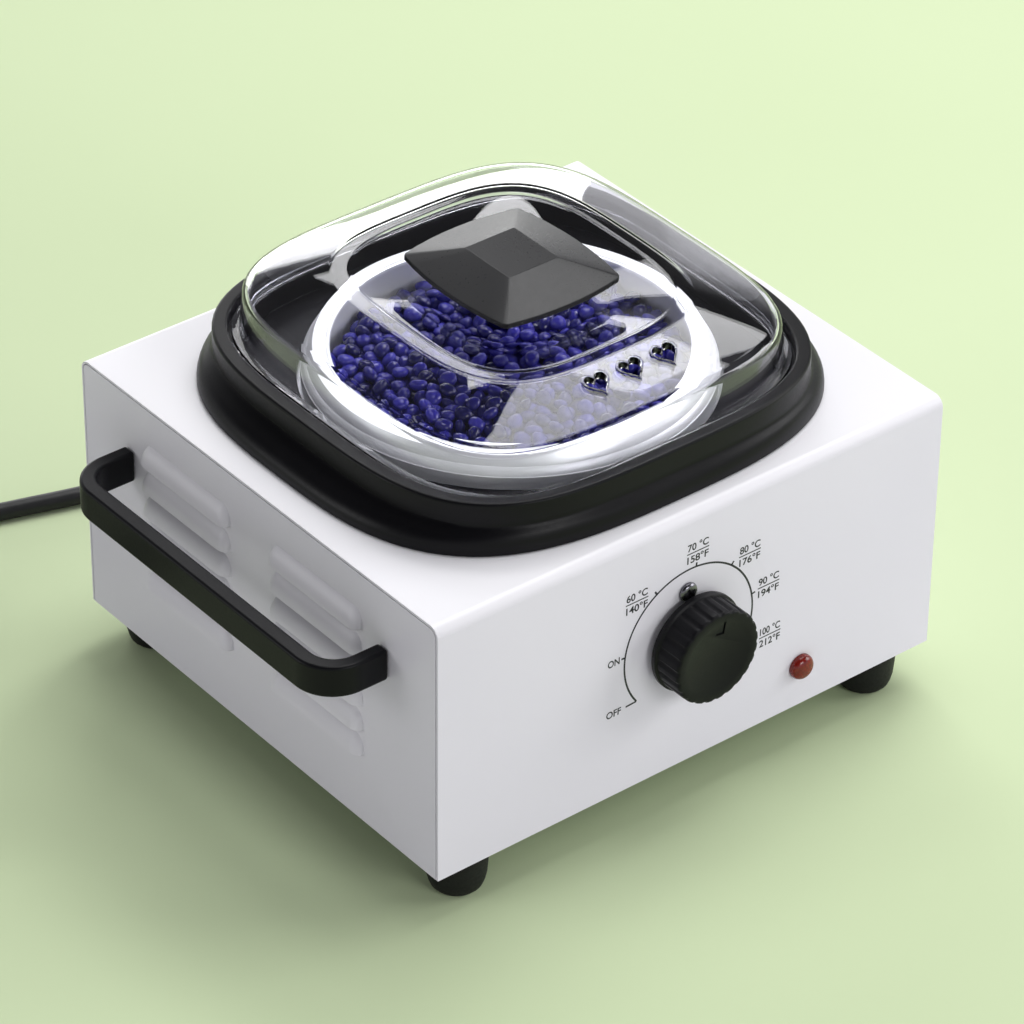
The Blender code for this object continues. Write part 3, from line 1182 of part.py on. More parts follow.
def mains_entry():
    """Strain relief through the back panel, its nut, and the terminal block on the base plate."""
    wall = Vector((0, HALF_DEPTH + TOUCH, GLAND_HEIGHT))
    profile = [
        (GLAND_STEM_RADIUS, -GLAND_STEM_LENGTH),
        (GLAND_STEM_RADIUS, 0),
        (GLAND_FLANGE_RADIUS, 0),
        (GLAND_FLANGE_RADIUS, GLAND_FLANGE),
        (GLAND_RELIEF_RADIUS, GLAND_FLANGE),
        (GLAND_END_RADIUS, GLAND_FLANGE + GLAND_RELIEF_LENGTH),
    ]
    shape = bmesh.new()
    turn(shape, profile, wall, BACKWARD, 16)
    add_part("cord_gland", shape, ((0.016, 0.016, 0.018), 0.5))
    inside = Vector((0, HALF_DEPTH - SHEET - TOUCH, GLAND_HEIGHT))
    bore = GLAND_STEM_RADIUS + BORE_CLEARANCE
    profile = ((bore, 0), (bore, GLAND_NUT), (GLAND_NUT_RADIUS, GLAND_NUT), (GLAND_NUT_RADIUS, 0))
    shape = bmesh.new()
    turn(shape, profile, inside, FORWARD, 12, looped=True)
    add_part("gland_nut", shape, ((0.020, 0.020, 0.022), 0.5))
    half_x, half_y, height = BLOCK_SIZE[0] / 2, BLOCK_SIZE[1] / 2, BLOCK_SIZE[2]
    x, y = BLOCK_PLACE
    shape = bmesh.new()
    bottom = SHEET + TOUCH
    block(shape, (x - half_x, y - half_y, bottom), (x + half_x, y + half_y, bottom + height))
    add_part("terminal_block", shape, ((0.80, 0.79, 0.74), 0.5), round_part=False)


def band_point(angle, out, height):
    """A point outside the heating band at an angle seen from above."""
    reach = CHAMBER_RADIUS + TOUCH + BAND_THICKNESS + out
    return Vector((reach * math.cos(angle), reach * math.sin(angle), height))


def feed_x():
    """How far across the casing the heater's feed wire leaves the thermostat."""
    return band_point(FEED_ANGLE, 0, 0).x


def wires():
    """Single-core wires from the gland, terminal block, thermostat and lamp to what they feed."""
    inlet = Vector((0, HALF_DEPTH - GLAND_STEM_LENGTH, GLAND_HEIGHT))
    spread = GLAND_STEM_RADIUS / 2
    stub = 5 * WIRE_RADIUS
    right = Vector((1, 0, 0))
    block_left = BLOCK_PLACE[0] - BLOCK_SIZE[0] / 2 - TOUCH
    block_y, block_half = BLOCK_PLACE[1], BLOCK_SIZE[1] / 2
    low = SHEET + TOUCH + BLOCK_SIZE[2] / 2
    live_via = (
        (-spread / 2, block_y + stub, low + 2 * WIRE_RADIUS),
        (stub, block_y - block_half / 4, low),
    )
    live_end = Vector((block_left, block_y - block_half / 2, low))
    live = route_between(inlet - right * spread, FORWARD, live_via, live_end, right, WIRE_RADIUS)
    neutral_via = ((block_left / 2, block_y + block_half * 0.7, low + WIRE_RADIUS),)
    neutral_end = Vector((block_left, block_y + block_half / 2, low))
    neutral = route_between(inlet + right * spread, FORWARD, neutral_via, neutral_end, right, WIRE_RADIUS)
    earth_x = -BLOCK_PLACE[0] * 0.7
    earth_via = (
        (-2 * WIRE_RADIUS, inlet.y - 2 * stub, inlet.z - spread - 3 * WIRE_RADIUS),
        (earth_x / 2, block_y + stub, low - 2 * WIRE_RADIUS),
        (earth_x + stub / 2, block_y + WIRE_RADIUS, SHEET + stub + WIRE_RADIUS),
    )
    earth_end = Vector((earth_x, block_y, SHEET + TOUCH))
    earth = route_between(inlet - UP * spread, FORWARD, earth_via, earth_end, -UP, WIRE_RADIUS)
    strip = BAND_BOTTOM + 3 * WIRE_RADIUS
    feed_start = Vector((feed_x(), thermostat_middle_y(), thermostat_underside()))
    feed_via = (feed_start + Vector((0, WIRE_RADIUS, -stub)), band_point(FEED_ANGLE, 2 * stub, strip))
    feed_end = band_point(FEED_ANGLE, 2 * TOUCH, strip)
    feed_in = -band_point(FEED_ANGLE, 0, 0).normalized()
    feed = route_between(feed_start, -UP, feed_via, feed_end, feed_in, WIRE_RADIUS)
    back_out = band_point(RETURN_ANGLE, 0, 0).normalized()
    top = Vector((BLOCK_PLACE[0], block_y, SHEET + TOUCH + BLOCK_SIZE[2] + TOUCH))
    back_via = (top + UP * 2 * stub, band_point(RETURN_ANGLE, 2 * stub, strip))
    back_end = band_point(RETURN_ANGLE, 2 * TOUCH, strip)
    back = route_between(top, UP, back_via, back_end, -back_out, WIRE_RADIUS)
    lamp_start = Vector((LAMP_CENTRE[0], FRONT_PANEL + SHEET + LAMP_BODY_LENGTH + 2 * TOUCH, LAMP_CENTRE[1]))
    lamp_via = (
        lamp_start + Vector((-stub, 2 * stub, WIRE_RADIUS)),
        (LAMP_CENTRE[0] / 2, thermostat_middle_y() + 2 * stub, LAMP_CENTRE[1] + stub),
        (-feed_start.x + stub, thermostat_middle_y(), LAMP_CENTRE[1] + 3 * stub),
    )
    lamp_end = Vector((-feed_start.x, thermostat_middle_y(), thermostat_underside()))
    lamp = route_between(lamp_start, BACKWARD, lamp_via, lamp_end, UP, WIRE_RADIUS)
    colours = {
        "live_wire": (live, (0.25, 0.09, 0.03)),
        "neutral_wire": (neutral, (0.03, 0.10, 0.45)),
        "earth_wire": (earth, (0.30, 0.45, 0.05)),
        "heater_feed_wire": (feed, (0.80, 0.79, 0.75)),
        "heater_return_wire": (back, (0.80, 0.79, 0.75)),
        "lamp_wire": (lamp, (0.45, 0.02, 0.02)),
    }
    for name, (route, colour) in colours.items():
        tube(name, smooth_route(route, stub), WIRE_RADIUS, (colour, 0.5), 1)


def coil_route():
    """The coil's centre line: one layer spirals in, the next climbs on it and spirals out again."""
    turns = 2 * COIL_TURNS_PER_LAYER
    count = round(turns * COIL_POINTS_PER_TURN)
    route = []
    for k in range(count + 1):
        turn_now = turns * k / count
        wound = COIL_TURNS_PER_LAYER - abs(turn_now - COIL_TURNS_PER_LAYER)
        climb = min(1.0, max(0.0, (turn_now - COIL_TURNS_PER_LAYER) * 2 + 0.5))
        rise = COIL_PITCH * (1 - math.cos(math.pi * climb)) / 2
        radius = COIL_OUTER_RADIUS - COIL_PITCH * wound
        angle = COIL_START_ANGLE + math.tau * turn_now
        x = COIL_CENTRE[0] + radius * math.cos(angle)
        y = COIL_CENTRE[1] + radius * math.sin(angle)
        route.append(Vector((x, y, CORD_LEVEL + rise)))
    return route


def straighten_end(route, last):
    """Adds a straight run of one tube diameter before the first or after the last point."""
    if last:
        ahead = (route[-1] - route[-2]).normalized() * CORD_RADIUS * 2
        return route + [route[-1] + Vector((ahead.x, ahead.y, 0))]
    ahead = (route[0] - route[1]).normalized() * CORD_RADIUS * 2
    return [route[0] + Vector((ahead.x, ahead.y, 0))] + route


def least_gap(route):
    """The least space between passes of a wound tube, along points a tenth of a step apart."""
    fine = [a.lerp(b, k / 10) for a, b in zip(route, route[1:]) for k in range(10)]
    step = (fine[1] - fine[0]).length
    skip = round(math.tau * CORD_RADIUS * 2 / step)
    nearest = min(
        (fine[i] - fine[j]).length for i in range(0, len(fine), 4) for j in range(i + skip, len(fine))
    )
    return nearest - 2 * CORD_RADIUS


def length_of(route):
    """The length along a run of points."""
    return sum((b - a).length for a, b in zip(route, route[1:]))


def supply_cord():
    """Cord from gland to coil, the coil, and the tail from coil to plug."""
    rubber = ((0.018, 0.018, 0.020), 0.45)
    coil = straighten_end(straighten_end(coil_route(), last=True), last=False)
    coil_in, coil_out = (coil[1] - coil[0]).normalized(), (coil[-1] - coil[-2]).normalized()
    lead_start = (0, HALF_DEPTH + 2 * TOUCH + GLAND_FLANGE + GLAND_RELIEF_LENGTH, GLAND_HEIGHT)
    lead_end = coil[0] - coil_in * TOUCH
    lead = route_between(lead_start, BACKWARD, LEAD_ROUTE, lead_end, coil_in, CORD_RADIUS)
    lead = smooth_route(lead, CORD_STEP)
    heading = Vector((math.cos(PLUG_HEADING), math.sin(PLUG_HEADING), 0))
    tail_start = coil[-1] + coil_out * TOUCH
    tail_end = Vector((*PLUG_FRONT, PLUG_LEVEL)) - heading * (PLUG_LENGTH + TOUCH)
    tail = route_between(tail_start, coil_out, TAIL_ROUTE, tail_end, heading, CORD_RADIUS)
    tail = smooth_route(tail, CORD_STEP)
    tube("power_cord", lead, CORD_RADIUS, rubber, 2)
    tube("cord_coil", coil, CORD_RADIUS, rubber, 1)
    tube("cord_tail", tail, CORD_RADIUS, rubber, 2)
    print("cord length in metres:", round(length_of(lead) + length_of(coil) + length_of(tail), 4))
    print("least gap of the coil to itself in mm:", round(least_gap(coil) * 1000, 2))


def plug():
    """A round earthed plug with two pins and two side clips, lying on its edge beside the coil."""
    heading = Vector((math.cos(PLUG_HEADING), math.sin(PLUG_HEADING), 0))
    across = Vector((-heading.y, heading.x, 0))
    front = Vector((*PLUG_FRONT, PLUG_LEVEL))
    edge = CORD_RADIUS / 3
    profile = [
        (PLUG_RADIUS - edge, 0),
        (PLUG_RADIUS, edge),
        (PLUG_RADIUS, PLUG_DISC),
        (PLUG_GRIP_RADIUS, PLUG_DISC + PLUG_GRIP / 2),
        (PLUG_GRIP_RADIUS, PLUG_DISC + PLUG_GRIP - edge),
        (PLUG_GRIP_RADIUS - edge, PLUG_DISC + PLUG_GRIP),
        (PLUG_RELIEF_RADIUS, PLUG_DISC + PLUG_GRIP),
        (CORD_RADIUS + edge, PLUG_LENGTH),
    ]
    shape = bmesh.new()
    turn(shape, profile, front, -heading, 24)
    part = add_part("plug_body", shape, ((0.018, 0.018, 0.020), 0.4), at=front)
    grooves = bmesh.new()
    clip_width, clip_depth = EARTH_CLIP
    for rise in (-1, 1):
        corners = []
        for along in (-OVERRUN, PLUG_DISC / 2):
            for side, up in ((-1, 0), (1, 0), (1, 1), (-1, 1)):
                level = PLUG_RADIUS - 2 * clip_depth if up == 0 else PLUG_RADIUS + OVERRUN
                sideways = across * side * (clip_width / 2 + TOUCH)
                corners.append(front - heading * along + sideways + UP * rise * level)
        loft(grooves, (corners[:4], corners[4:]))
    cut(part, grooves)
    for word, rise in (("lower", -1), ("upper", 1)):
        inner, outer = PLUG_RADIUS - 2 * clip_depth + TOUCH, PLUG_RADIUS - clip_depth
        rings = []
        for along in (TOUCH, PLUG_DISC / 2 - TOUCH):
            ring = []
            for side, level in ((-1, inner), (1, inner), (1, outer), (-1, outer)):
                ring.append(front - heading * along + across * side * clip_width / 2 + UP * rise * level)
            rings.append(ring)
        shape = bmesh.new()
        loft(shape, rings)
        add_part("plug_earth_clip_" + word, shape, ((0.75, 0.75, 0.76), 0.3, 1.0), at=front, round_part=False)
    for word, side in (("left", -1), ("right", 1)):
        start = front + heading * TOUCH + across * side * PIN_SPACING / 2
        shape = bmesh.new()
        tip = PIN_RADIUS / 2
        profile = ((PIN_RADIUS, 0), (PIN_RADIUS, PIN_LENGTH - tip), (PIN_RADIUS - tip, PIN_LENGTH))
        turn(shape, profile, start, heading, 16)
        add_part("plug_pin_" + word, shape, ((0.75, 0.75, 0.76), 0.25, 1.0), at=start)


for leftover in list(bpy.data.objects):
    bpy.data.objects.remove(leftover)

casing_frame = bpy.data.objects.new("casing_frame", None)
bpy.context.scene.collection.objects.link(casing_frame)
sideways = -HANDLE_SIDE * (HANDLE_STANDOUT - LOUVRE_STANDOUT) / 2
casing_frame.location = (sideways, DIAL_KNOB_STANDOFF / 2, FOOT_HEIGHT)

casing_wrap()
side_panel("side_panel_left", -1)
side_panel("side_panel_right", 1)
base_plate()
feet()
handle()
handle_screws()
collar()
heating_chamber()
heater()
inner_pot()
wax_beads()
lid_shell()
lid_knob()
thermostat()
sensing_bulb()
thermostat_screws()
dial_knob()
thermostat_shaft()
pilot_lamp()
mains_entry()
wires()
supply_cord()
plug()
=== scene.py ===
import math
import random

import bmesh
import bpy
from mathutils import Matrix, Vector


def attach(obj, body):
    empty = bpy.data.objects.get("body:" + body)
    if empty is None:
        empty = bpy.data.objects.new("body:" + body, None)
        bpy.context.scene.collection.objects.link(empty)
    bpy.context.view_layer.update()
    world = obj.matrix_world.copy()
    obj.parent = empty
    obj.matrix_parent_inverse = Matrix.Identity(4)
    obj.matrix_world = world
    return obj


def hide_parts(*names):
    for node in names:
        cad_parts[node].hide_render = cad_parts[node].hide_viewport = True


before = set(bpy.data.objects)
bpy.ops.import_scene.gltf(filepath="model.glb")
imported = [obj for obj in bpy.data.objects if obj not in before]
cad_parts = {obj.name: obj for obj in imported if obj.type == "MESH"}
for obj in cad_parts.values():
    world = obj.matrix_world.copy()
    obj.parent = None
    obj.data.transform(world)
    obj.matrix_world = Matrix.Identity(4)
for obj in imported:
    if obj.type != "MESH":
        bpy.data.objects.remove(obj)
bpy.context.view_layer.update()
bpy.context.scene.view_settings.view_transform = "Standard"

casingAt = Vector((0.01295, 0.0085, 0.019))  # where the casing's frame stands; sizes below are in it
forward, backward, upward = Vector((0, -1, 0)), Vector((0, 1, 0)), Vector((0, 0, 1))
touch = 0.0003  # the air that pieces keep between them

# Camera, at the photograph's place
camera = {
    "turn": -38.76,  # degrees, looking from the front left
    "lift": 35.09,
    "roll": 0.57,
    "distance": 1.895,
    "target": (-0.0038, -0.0065, 0.0566),
    "lens": 174.3,
}


def addCamera():
    turn, lift, roll = (math.radians(camera[k]) for k in ("turn", "lift", "roll"))
    away = Vector((math.sin(turn) * math.cos(lift), -math.cos(turn) * math.cos(lift), math.sin(lift)))
    right = Vector((math.cos(turn), math.sin(turn), 0))
    up = away.cross(right)
    across = right * math.cos(roll) + up * math.sin(roll)
    upright = up * math.cos(roll) - right * math.sin(roll)
    bpy.ops.object.camera_add()
    made = bpy.context.object
    made.matrix_world = Matrix((across, upright, away)).transposed().to_4x4()
    made.location = Vector(camera["target"]) + casingAt + away * camera["distance"]
    made.data.lens = camera["lens"]
    made.data.sensor_width = 36
    made.data.clip_end = 20
    bpy.context.scene.camera = made


addCamera()
print("camera stands")


class Wire:
    # one socket of a finish's nodes, on which plain maths works
    def __init__(self, tree, socket=None):
        self.tree = tree
        self.socket = socket

    def node(self, kind, settings=None, values=None, output=0):
        made = self.tree.nodes.new("ShaderNode" + kind)
        for name, value in (settings or {}).items():
            if name == "stops":
                while len(made.color_ramp.elements) < len(value):
                    made.color_ramp.elements.new(0.5)
                for stop, (place, colour) in zip(made.color_ramp.elements, value):
                    stop.position, stop.color = place, colour
            else:
                setattr(made, name, value)
        for name, value in (values or {}).items():
            if isinstance(value, Wire):
                self.tree.links.new(value.socket, made.inputs[name])
            else:
                made.inputs[name].default_value = value
        return Wire(self.tree, made.outputs[output])

    def maths(self, operation, *values, clamp=False):
        settings = {"operation": operation, "use_clamp": clamp}
        return self.node("Math", settings, dict(enumerate(values)))

    def __add__(self, other):
        return self.maths("ADD", self, other)

    def __sub__(self, other):
        return self.maths("SUBTRACT", self, other)

    def __rsub__(self, other):
        return self.maths("SUBTRACT", other, self)

    def __mul__(self, other):
        return self.maths("MULTIPLY", self, other)

    def __pow__(self, other):
        return self.maths("POWER", self, other)

    __radd__ = __add__
    __rmul__ = __mul__


def grain(start, scale, detail=2.0, rough=0.5, stretch=(1, 1, 1), at=None):
    # a noise on the piece's own coordinates, in metres
    place = at or start.node("TexCoord", output="Object")
    if stretch != (1, 1, 1):
        place = start.node("Mapping", values={"Vector": place, "Scale": stretch})
    values = {"Vector": place, "Scale": scale, "Detail": detail, "Roughness": rough}
    return start.node("TexNoise", values=values)


def ramp(start, value, low, high, lowTo=0.0, highTo=1.0):
    return start.node("MapRange", {"clamp": True}, {0: value, 1: low, 2: high, 3: lowTo, 4: highTo})


def mixColours(start, share, a, b):
    return start.node("Mix", {"data_type": "RGBA"}, {0: share, 6: a, 7: b}, output=2)


def relief(start, height, depth, strength=1.0):
    return start.node("Bump", values={"Height": height, "Distance": depth, "Strength": strength})


def tint(code):
    # a colour written as in an image editor
    parts = [int(code[k : k + 2], 16) / 255 for k in (0, 2, 4)]
    return tuple(v / 12.92 if v <= 0.04045 else ((v + 0.055) / 1.055) ** 2.4 for v in parts) + (1,)


def newFinish(name, build):
    made = bpy.data.materials.new(name)
    made.use_nodes = True
    shader = made.node_tree.nodes["Principled BSDF"]
    for socket, value in build(Wire(made.node_tree)).items():
        if isinstance(value, Wire):
            made.node_tree.links.new(value.socket, shader.inputs[socket])
        else:
            shader.inputs[socket].default_value = value
    return made


def powderCoat(start):
    # white enamel with a fine orange peel and a breath of unevenness
    peel = grain(start, 620, 2.5, 0.5)
    cloud = grain(start, 7, 2, 0.5)
    colour = mixColours(start, ramp(start, cloud, 0.35, 0.65), tint("ECEBEF"), tint("E8E7EC"))
    return {
        "Base Color": colour,
        "Roughness": ramp(start, peel, 0.3, 0.7, 0.34, 0.42),
        "Specular IOR Level": 0.5,
        "Normal": relief(start, peel, 0.00003, 0.5),
    }


def moulding(dark, light, roughLow, roughHigh, scale=900.0, depth=0.00002, gloss=0.5):
    # a moulded plastic with a fine spark-eroded surface
    def build(start):
        fine = grain(start, scale, 3, 0.6)
        cloud = grain(start, 25, 3, 0.55)
        return {
            "Base Color": mixColours(start, cloud, tint(dark), tint(light)),
            "Roughness": ramp(start, fine + cloud * 0.5, 0.5, 1.0, roughLow, roughHigh),
            "Specular IOR Level": gloss,
            "Normal": relief(start, fine, depth, 0.5),
        }

    return build


def brushed(dark, light, roughLow, roughHigh, scale=30.0, stretch=(1, 1, 40), metallic=1.0):
    # a metal with drawn or turned lines along one direction
    def build(start):
        lines = grain(start, scale, 4, 0.6, stretch)
        return {
            "Base Color": mixColours(start, lines, tint(dark), tint(light)),
            "Metallic": metallic,
            "Roughness": ramp(start, lines, 0.3, 0.7, roughLow, roughHigh),
            "Normal": relief(start, lines, 0.00001, 0.35),
        }

    return build


def clearPlastic(start):
    smear = grain(start, 60, 3, 0.55)
    return {
        "Base Color": (0.955, 0.957, 1, 1),
        "Roughness": ramp(start, smear, 0.45, 0.75, 0.006, 0.03),
        "IOR": 1.49,
        "Transmission Weight": 1.0,
    }


def letLightThrough(finish):
    # lamps shine straight through the clear plastic, which otherwise would throw a dark shadow
    tree = finish.node_tree
    start = Wire(tree)
    plastic = Wire(tree, tree.nodes["Principled BSDF"].outputs["BSDF"])
    air = start.node("BsdfTransparent", values={"Color": (0.9, 0.9, 0.92, 1)})
    shadow = start.node("LightPath", output="Is Shadow Ray")
    both = start.node("MixShader", values={0: shadow, 1: plastic, 2: air})
    tree.links.new(both.socket, tree.nodes["Material Output"].inputs["Surface"])


def satinAluminium(start):
    # turned round the pot's axis: fine rings, and a bloom that scatters light
    place = start.node("TexCoord", output="Object")
    centred = start.node("Mapping", values={"Vector": place, "Location": (-casingAt.x, -casingAt.y, 0)})
    flattened = start.node("Mapping", values={"Vector": centred, "Scale": (4, 4, 0)})
    turned = start.node("TexGradient", {"gradient_type": "SPHERICAL"}, {"Vector": flattened})
    rings = grain(start, 900, 3, 0.6, at=turned)
    bloom = grain(start, 40, 3, 0.6)
    return {
        "Base Color": mixColours(start, rings * 0.5 + bloom * 0.5, tint("E4E6E8"), tint("FBFBF9")),
        "Metallic": 0.45,
        "Roughness": ramp(start, bloom + rings * 0.3, 0.4, 0.9, 0.34, 0.46),
        "Normal": relief(start, rings, 0.00001, 0.3),
    }


def waxColour(start):
    tone = start.node("Attribute", {"attribute_name": "tone"}, output="Fac")
    cloud = grain(start, 260, 3, 0.6)
    colour = mixColours(start, tone, tint("0E0E40"), tint("3A379E"))
    colour = mixColours(start, cloud * 0.4, colour, tint("100F40"))
    return {
        "Base Color": colour,
        "Roughness": ramp(start, cloud, 0.35, 0.7, 0.10, 0.20),
        "Subsurface Weight": 0.15,
        "Subsurface Radius": (0.3, 0.3, 1.0),
        "Subsurface Scale": 0.001,
        "Normal": relief(start, cloud, 0.00006, 0.5),
    }


def redLens(start):
    place = start.node("TexCoord", output="Object")
    cells = start.node("TexVoronoi", values={"Vector": place, "Scale": 900.0})
    return {
        "Base Color": mixColours(start, cells, tint("7E1509"), tint("5A0C07")),
        "Roughness": 0.2,
        "Coat Weight": 0.08,
        "Emission Color": tint("A02010"),
        "Emission Strength": 0.05,
        "Normal": relief(start, cells, 0.00005, 0.25),
    }


def ink(start):
    wear = grain(start, 1400, 3, 0.6)
    return {
        "Base Color": mixColours(start, wear, tint("14151A"), tint("26272E")),
        "Roughness": ramp(start, wear, 0.3, 0.7, 0.38, 0.55),
    }


def fibres(start):
    wool = grain(start, 700, 6, 0.7, (1, 1, 0.25))
    return {
        "Base Color": mixColours(start, wool, tint("CFC9B8"), tint("F0ECE0")),
        "Roughness": 0.95,
        "Normal": relief(start, wool, 0.0004, 0.8),
    }


finishes = {
    "white_enamel": ("powderCoat", powderCoat),
    "bare_steel": ("galvanised", brushed("9A9DA0", "C2C5C8", 0.34, 0.5, 120.0, (1, 1, 1))),
    "black_collar": ("collarBlack", moulding("060608", "0B0A0F", 0.30, 0.42, gloss=0.18)),
    "spun_aluminium": ("spunAluminium", brushed("B9BABC", "D6D7D8", 0.28, 0.42, 40.0, (1, 1, 30))),
    "polished_aluminium": ("satinAluminium", satinAluminium),
    "heater_mica": ("mica", brushed("8A7358", "A89478", 0.4, 0.6, 200.0, (1, 1, 1), 0.5)),
    "felt": ("felt", fibres),
    "dark_moulding": ("darkMoulding", moulding("1A1A1C", "242428", 0.42, 0.55)),
    "thermostat_case": ("bakelite", moulding("4A4038", "5A5048", 0.4, 0.55)),
    "copper_tube": ("copper", brushed("B5734A", "D69A70", 0.25, 0.4, 90.0, (1, 1, 1))),
    "plated_steel": ("plated", brushed("B0B1B4", "DCDDDF", 0.16, 0.30, 160.0, (1, 1, 1))),
    "black_knob": ("knobBlack", moulding("0A0A0D", "121216", 0.34, 0.46, gloss=0.15)),
    "red_lens": ("redLens", redLens),
    "lamp_body": ("lampBody", moulding("D8D4C8", "E6E2D6", 0.45, 0.6)),
    "block_ceramic": ("ceramic", moulding("E2DED2", "F0ECE2", 0.3, 0.5)),
    "black_handle": ("handleBlack", moulding("0A0A0D", "121216", 0.30, 0.42, gloss=0.15)),
    "rubber_foot": ("rubber", moulding("0C0C0E", "141416", 0.50, 0.68, gloss=0.3)),
    "clear_lid": ("clearPlastic", clearPlastic),
    "grey_knob": ("knobGrey", moulding("1E1E20", "262628", 0.26, 0.36, gloss=0.24)),
    "blue_wax": ("wax", waxColour),
    "cord_jacket": ("cordJacket", moulding("0E0E10", "161618", 0.38, 0.52, gloss=0.35)),
    "plug_metal": ("plugMetal", brushed("C4C5C7", "E4E5E6", 0.14, 0.26, 160.0, (1, 1, 1))),
    "brown_wire": ("brownWire", moulding("5A3420", "6B4028", 0.4, 0.5)),
    "blue_wire": ("blueWire", moulding("20508C", "2C62A4", 0.4, 0.5)),
    "green_wire": ("greenWire", moulding("4E8C2C", "8CA82C", 0.4, 0.5, 60.0)),
    "white_wire": ("whiteWire", moulding("D8D6D0", "E8E6E0", 0.4, 0.5)),
    "red_wire": ("redWire", moulding("A02418", "B83424", 0.4, 0.5)),
    "ink": ("ink", ink),
    # a darker copy of the plated steel, for the two screws beside the dial: painted shade
    "shaded_plated_steel": ("shadedPlatedSteel", brushed("4E4D53", "8A8990", 0.18, 0.30, 160.0, (1, 1, 1))),
}
finishes = {slotName: newFinish(name, build) for slotName, (name, build) in finishes.items()}
letLightThrough(finishes["clear_lid"])
print("finishes are mixed")


def quiet():
    bpy.ops.object.select_all(action="DESELECT")


def pick(piece):
    quiet()
    piece.select_set(True)
    bpy.context.view_layer.objects.active = piece


def shapeLoop(piece, loop, ring):
    mesh = bmesh.from_edit_mesh(piece.data)
    mesh.verts.ensure_lookup_table()
    for index, point in zip(loop, ring):
        mesh.verts[index].co = point
    bmesh.update_edit_mesh(piece.data)


def nextLoop(piece, loop):
    # the loop that an extrusion has just drawn, in the order of the one before it
    mesh = bmesh.from_edit_mesh(piece.data)
    mesh.verts.ensure_lookup_table()
    found = []
    for index in loop:
        ends = [edge.other_vert(mesh.verts[index]) for edge in mesh.verts[index].link_edges]
        found.append(next(end.index for end in ends if end.select))
    return found


def selectVerts(piece, chosen):
    mesh = bmesh.from_edit_mesh(piece.data)
    for vert in mesh.verts:
        vert.select = vert.index in chosen
    mesh.select_flush_mode()
    bmesh.update_edit_mesh(piece.data)


def weighLoop(piece, loop, weight):
    mesh = bmesh.from_edit_mesh(piece.data)
    layers = mesh.edges.layers.float
    layer = layers.get("bevel_weight_edge") or layers.new("bevel_weight_edge")
    mesh.verts.ensure_lookup_table()
    for a, b in zip(loop, loop[1:] + loop[:1]):
        edge = mesh.edges.get((mesh.verts[a], mesh.verts[b]))
        if edge:
            edge[layer] = weight
    bmesh.update_edit_mesh(piece.data)


def turnOutwards():
    # every face of the piece in hand looks outwards, and its editing ends
    bpy.ops.mesh.select_all(action="SELECT")
    bpy.ops.mesh.normals_make_consistent(inside=False)
    bpy.ops.object.mode_set(mode="OBJECT")


def modify(piece, kind, **settings):
    pick(piece)
    made = piece.modifiers.new("step", kind)
    for name, value in settings.items():
        setattr(made, name, value)
    bpy.ops.object.modifier_apply(modifier=made.name)


def drawRings(name, rings, eases=None, closing="caps", segments=3, smooth=32):
    # a circle takes the first ring's outline and is extruded from ring to ring
    quiet()
    bpy.ops.mesh.primitive_circle_add(vertices=len(rings[0]), radius=0.01)
    piece = bpy.context.object
    piece.name = piece.data.name = name
    bpy.ops.object.mode_set(mode="EDIT")
    bpy.ops.mesh.select_mode(type="VERT")
    bpy.ops.mesh.select_all(action="SELECT")
    loops = [list(range(len(rings[0])))]
    shapeLoop(piece, loops[0], rings[0])
    for ring in rings[1:]:
        bpy.ops.mesh.extrude_region_move()
        loops.append(nextLoop(piece, loops[-1]))
        shapeLoop(piece, loops[-1], ring)
    eases = eases or {}  # the width of the round on each ring that has one
    widest = max(eases.values(), default=0)
    for k, width in eases.items():
        weighLoop(piece, loops[k], width / widest)
    if closing == "caps":
        for loop in (loops[0], loops[-1]):
            selectVerts(piece, set(loop))
            bpy.ops.mesh.edge_face_add()
    elif closing == "bridge":
        selectVerts(piece, set(loops[0]) | set(loops[-1]))
        bpy.ops.mesh.bridge_edge_loops()
    turnOutwards()
    if widest:
        modify(piece, "BEVEL", limit_method="WEIGHT", width=widest, segments=segments)
    smoothen(piece, smooth)
    return piece


def smoothen(piece, degrees=32):
    pick(piece)
    bpy.ops.object.shade_smooth_by_angle(angle=math.radians(degrees))


def weighNormals(piece):
    # flat faces stay flat next to eased edges
    modify(piece, "WEIGHTED_NORMAL", keep_sharp=True)


def easeEdges(piece, width, degrees=40, segments=2):
    angle = math.radians(degrees)
    modify(piece, "BEVEL", limit_method="ANGLE", angle_limit=angle, width=width, segments=segments)


def thicken(piece, wall):
    modify(piece, "SOLIDIFY", thickness=wall, offset=-1, use_even_offset=True)


def cutAway(piece, cutter, operation="DIFFERENCE"):
    modify(piece, "BOOLEAN", operation=operation, solver="EXACT", object=cutter)
    bpy.data.objects.remove(cutter)


def joinAll(pieces, name):
    quiet()
    for piece in pieces:
        piece.select_set(True)
    bpy.context.view_layer.objects.active = pieces[0]
    bpy.ops.object.join()
    pieces[0].name = pieces[0].data.name = name
    return pieces[0]


def rod(radius, start, end, sides=32):
    # a plain round rod between two points, used to drill with
    along = end - start
    turned = along.to_track_quat("Z", "Y").to_euler()
    place = (start + end) / 2
    quiet()
    bpy.ops.mesh.primitive_cylinder_add(
        vertices=sides, radius=radius, depth=along.length, location=place, rotation=turned
    )
    return bpy.context.object


def copyOf(piece, name):
    copy = piece.copy()
    copy.data = piece.data.copy()
    copy.name = copy.data.name = name
    bpy.context.collection.objects.link(copy)
    return copy


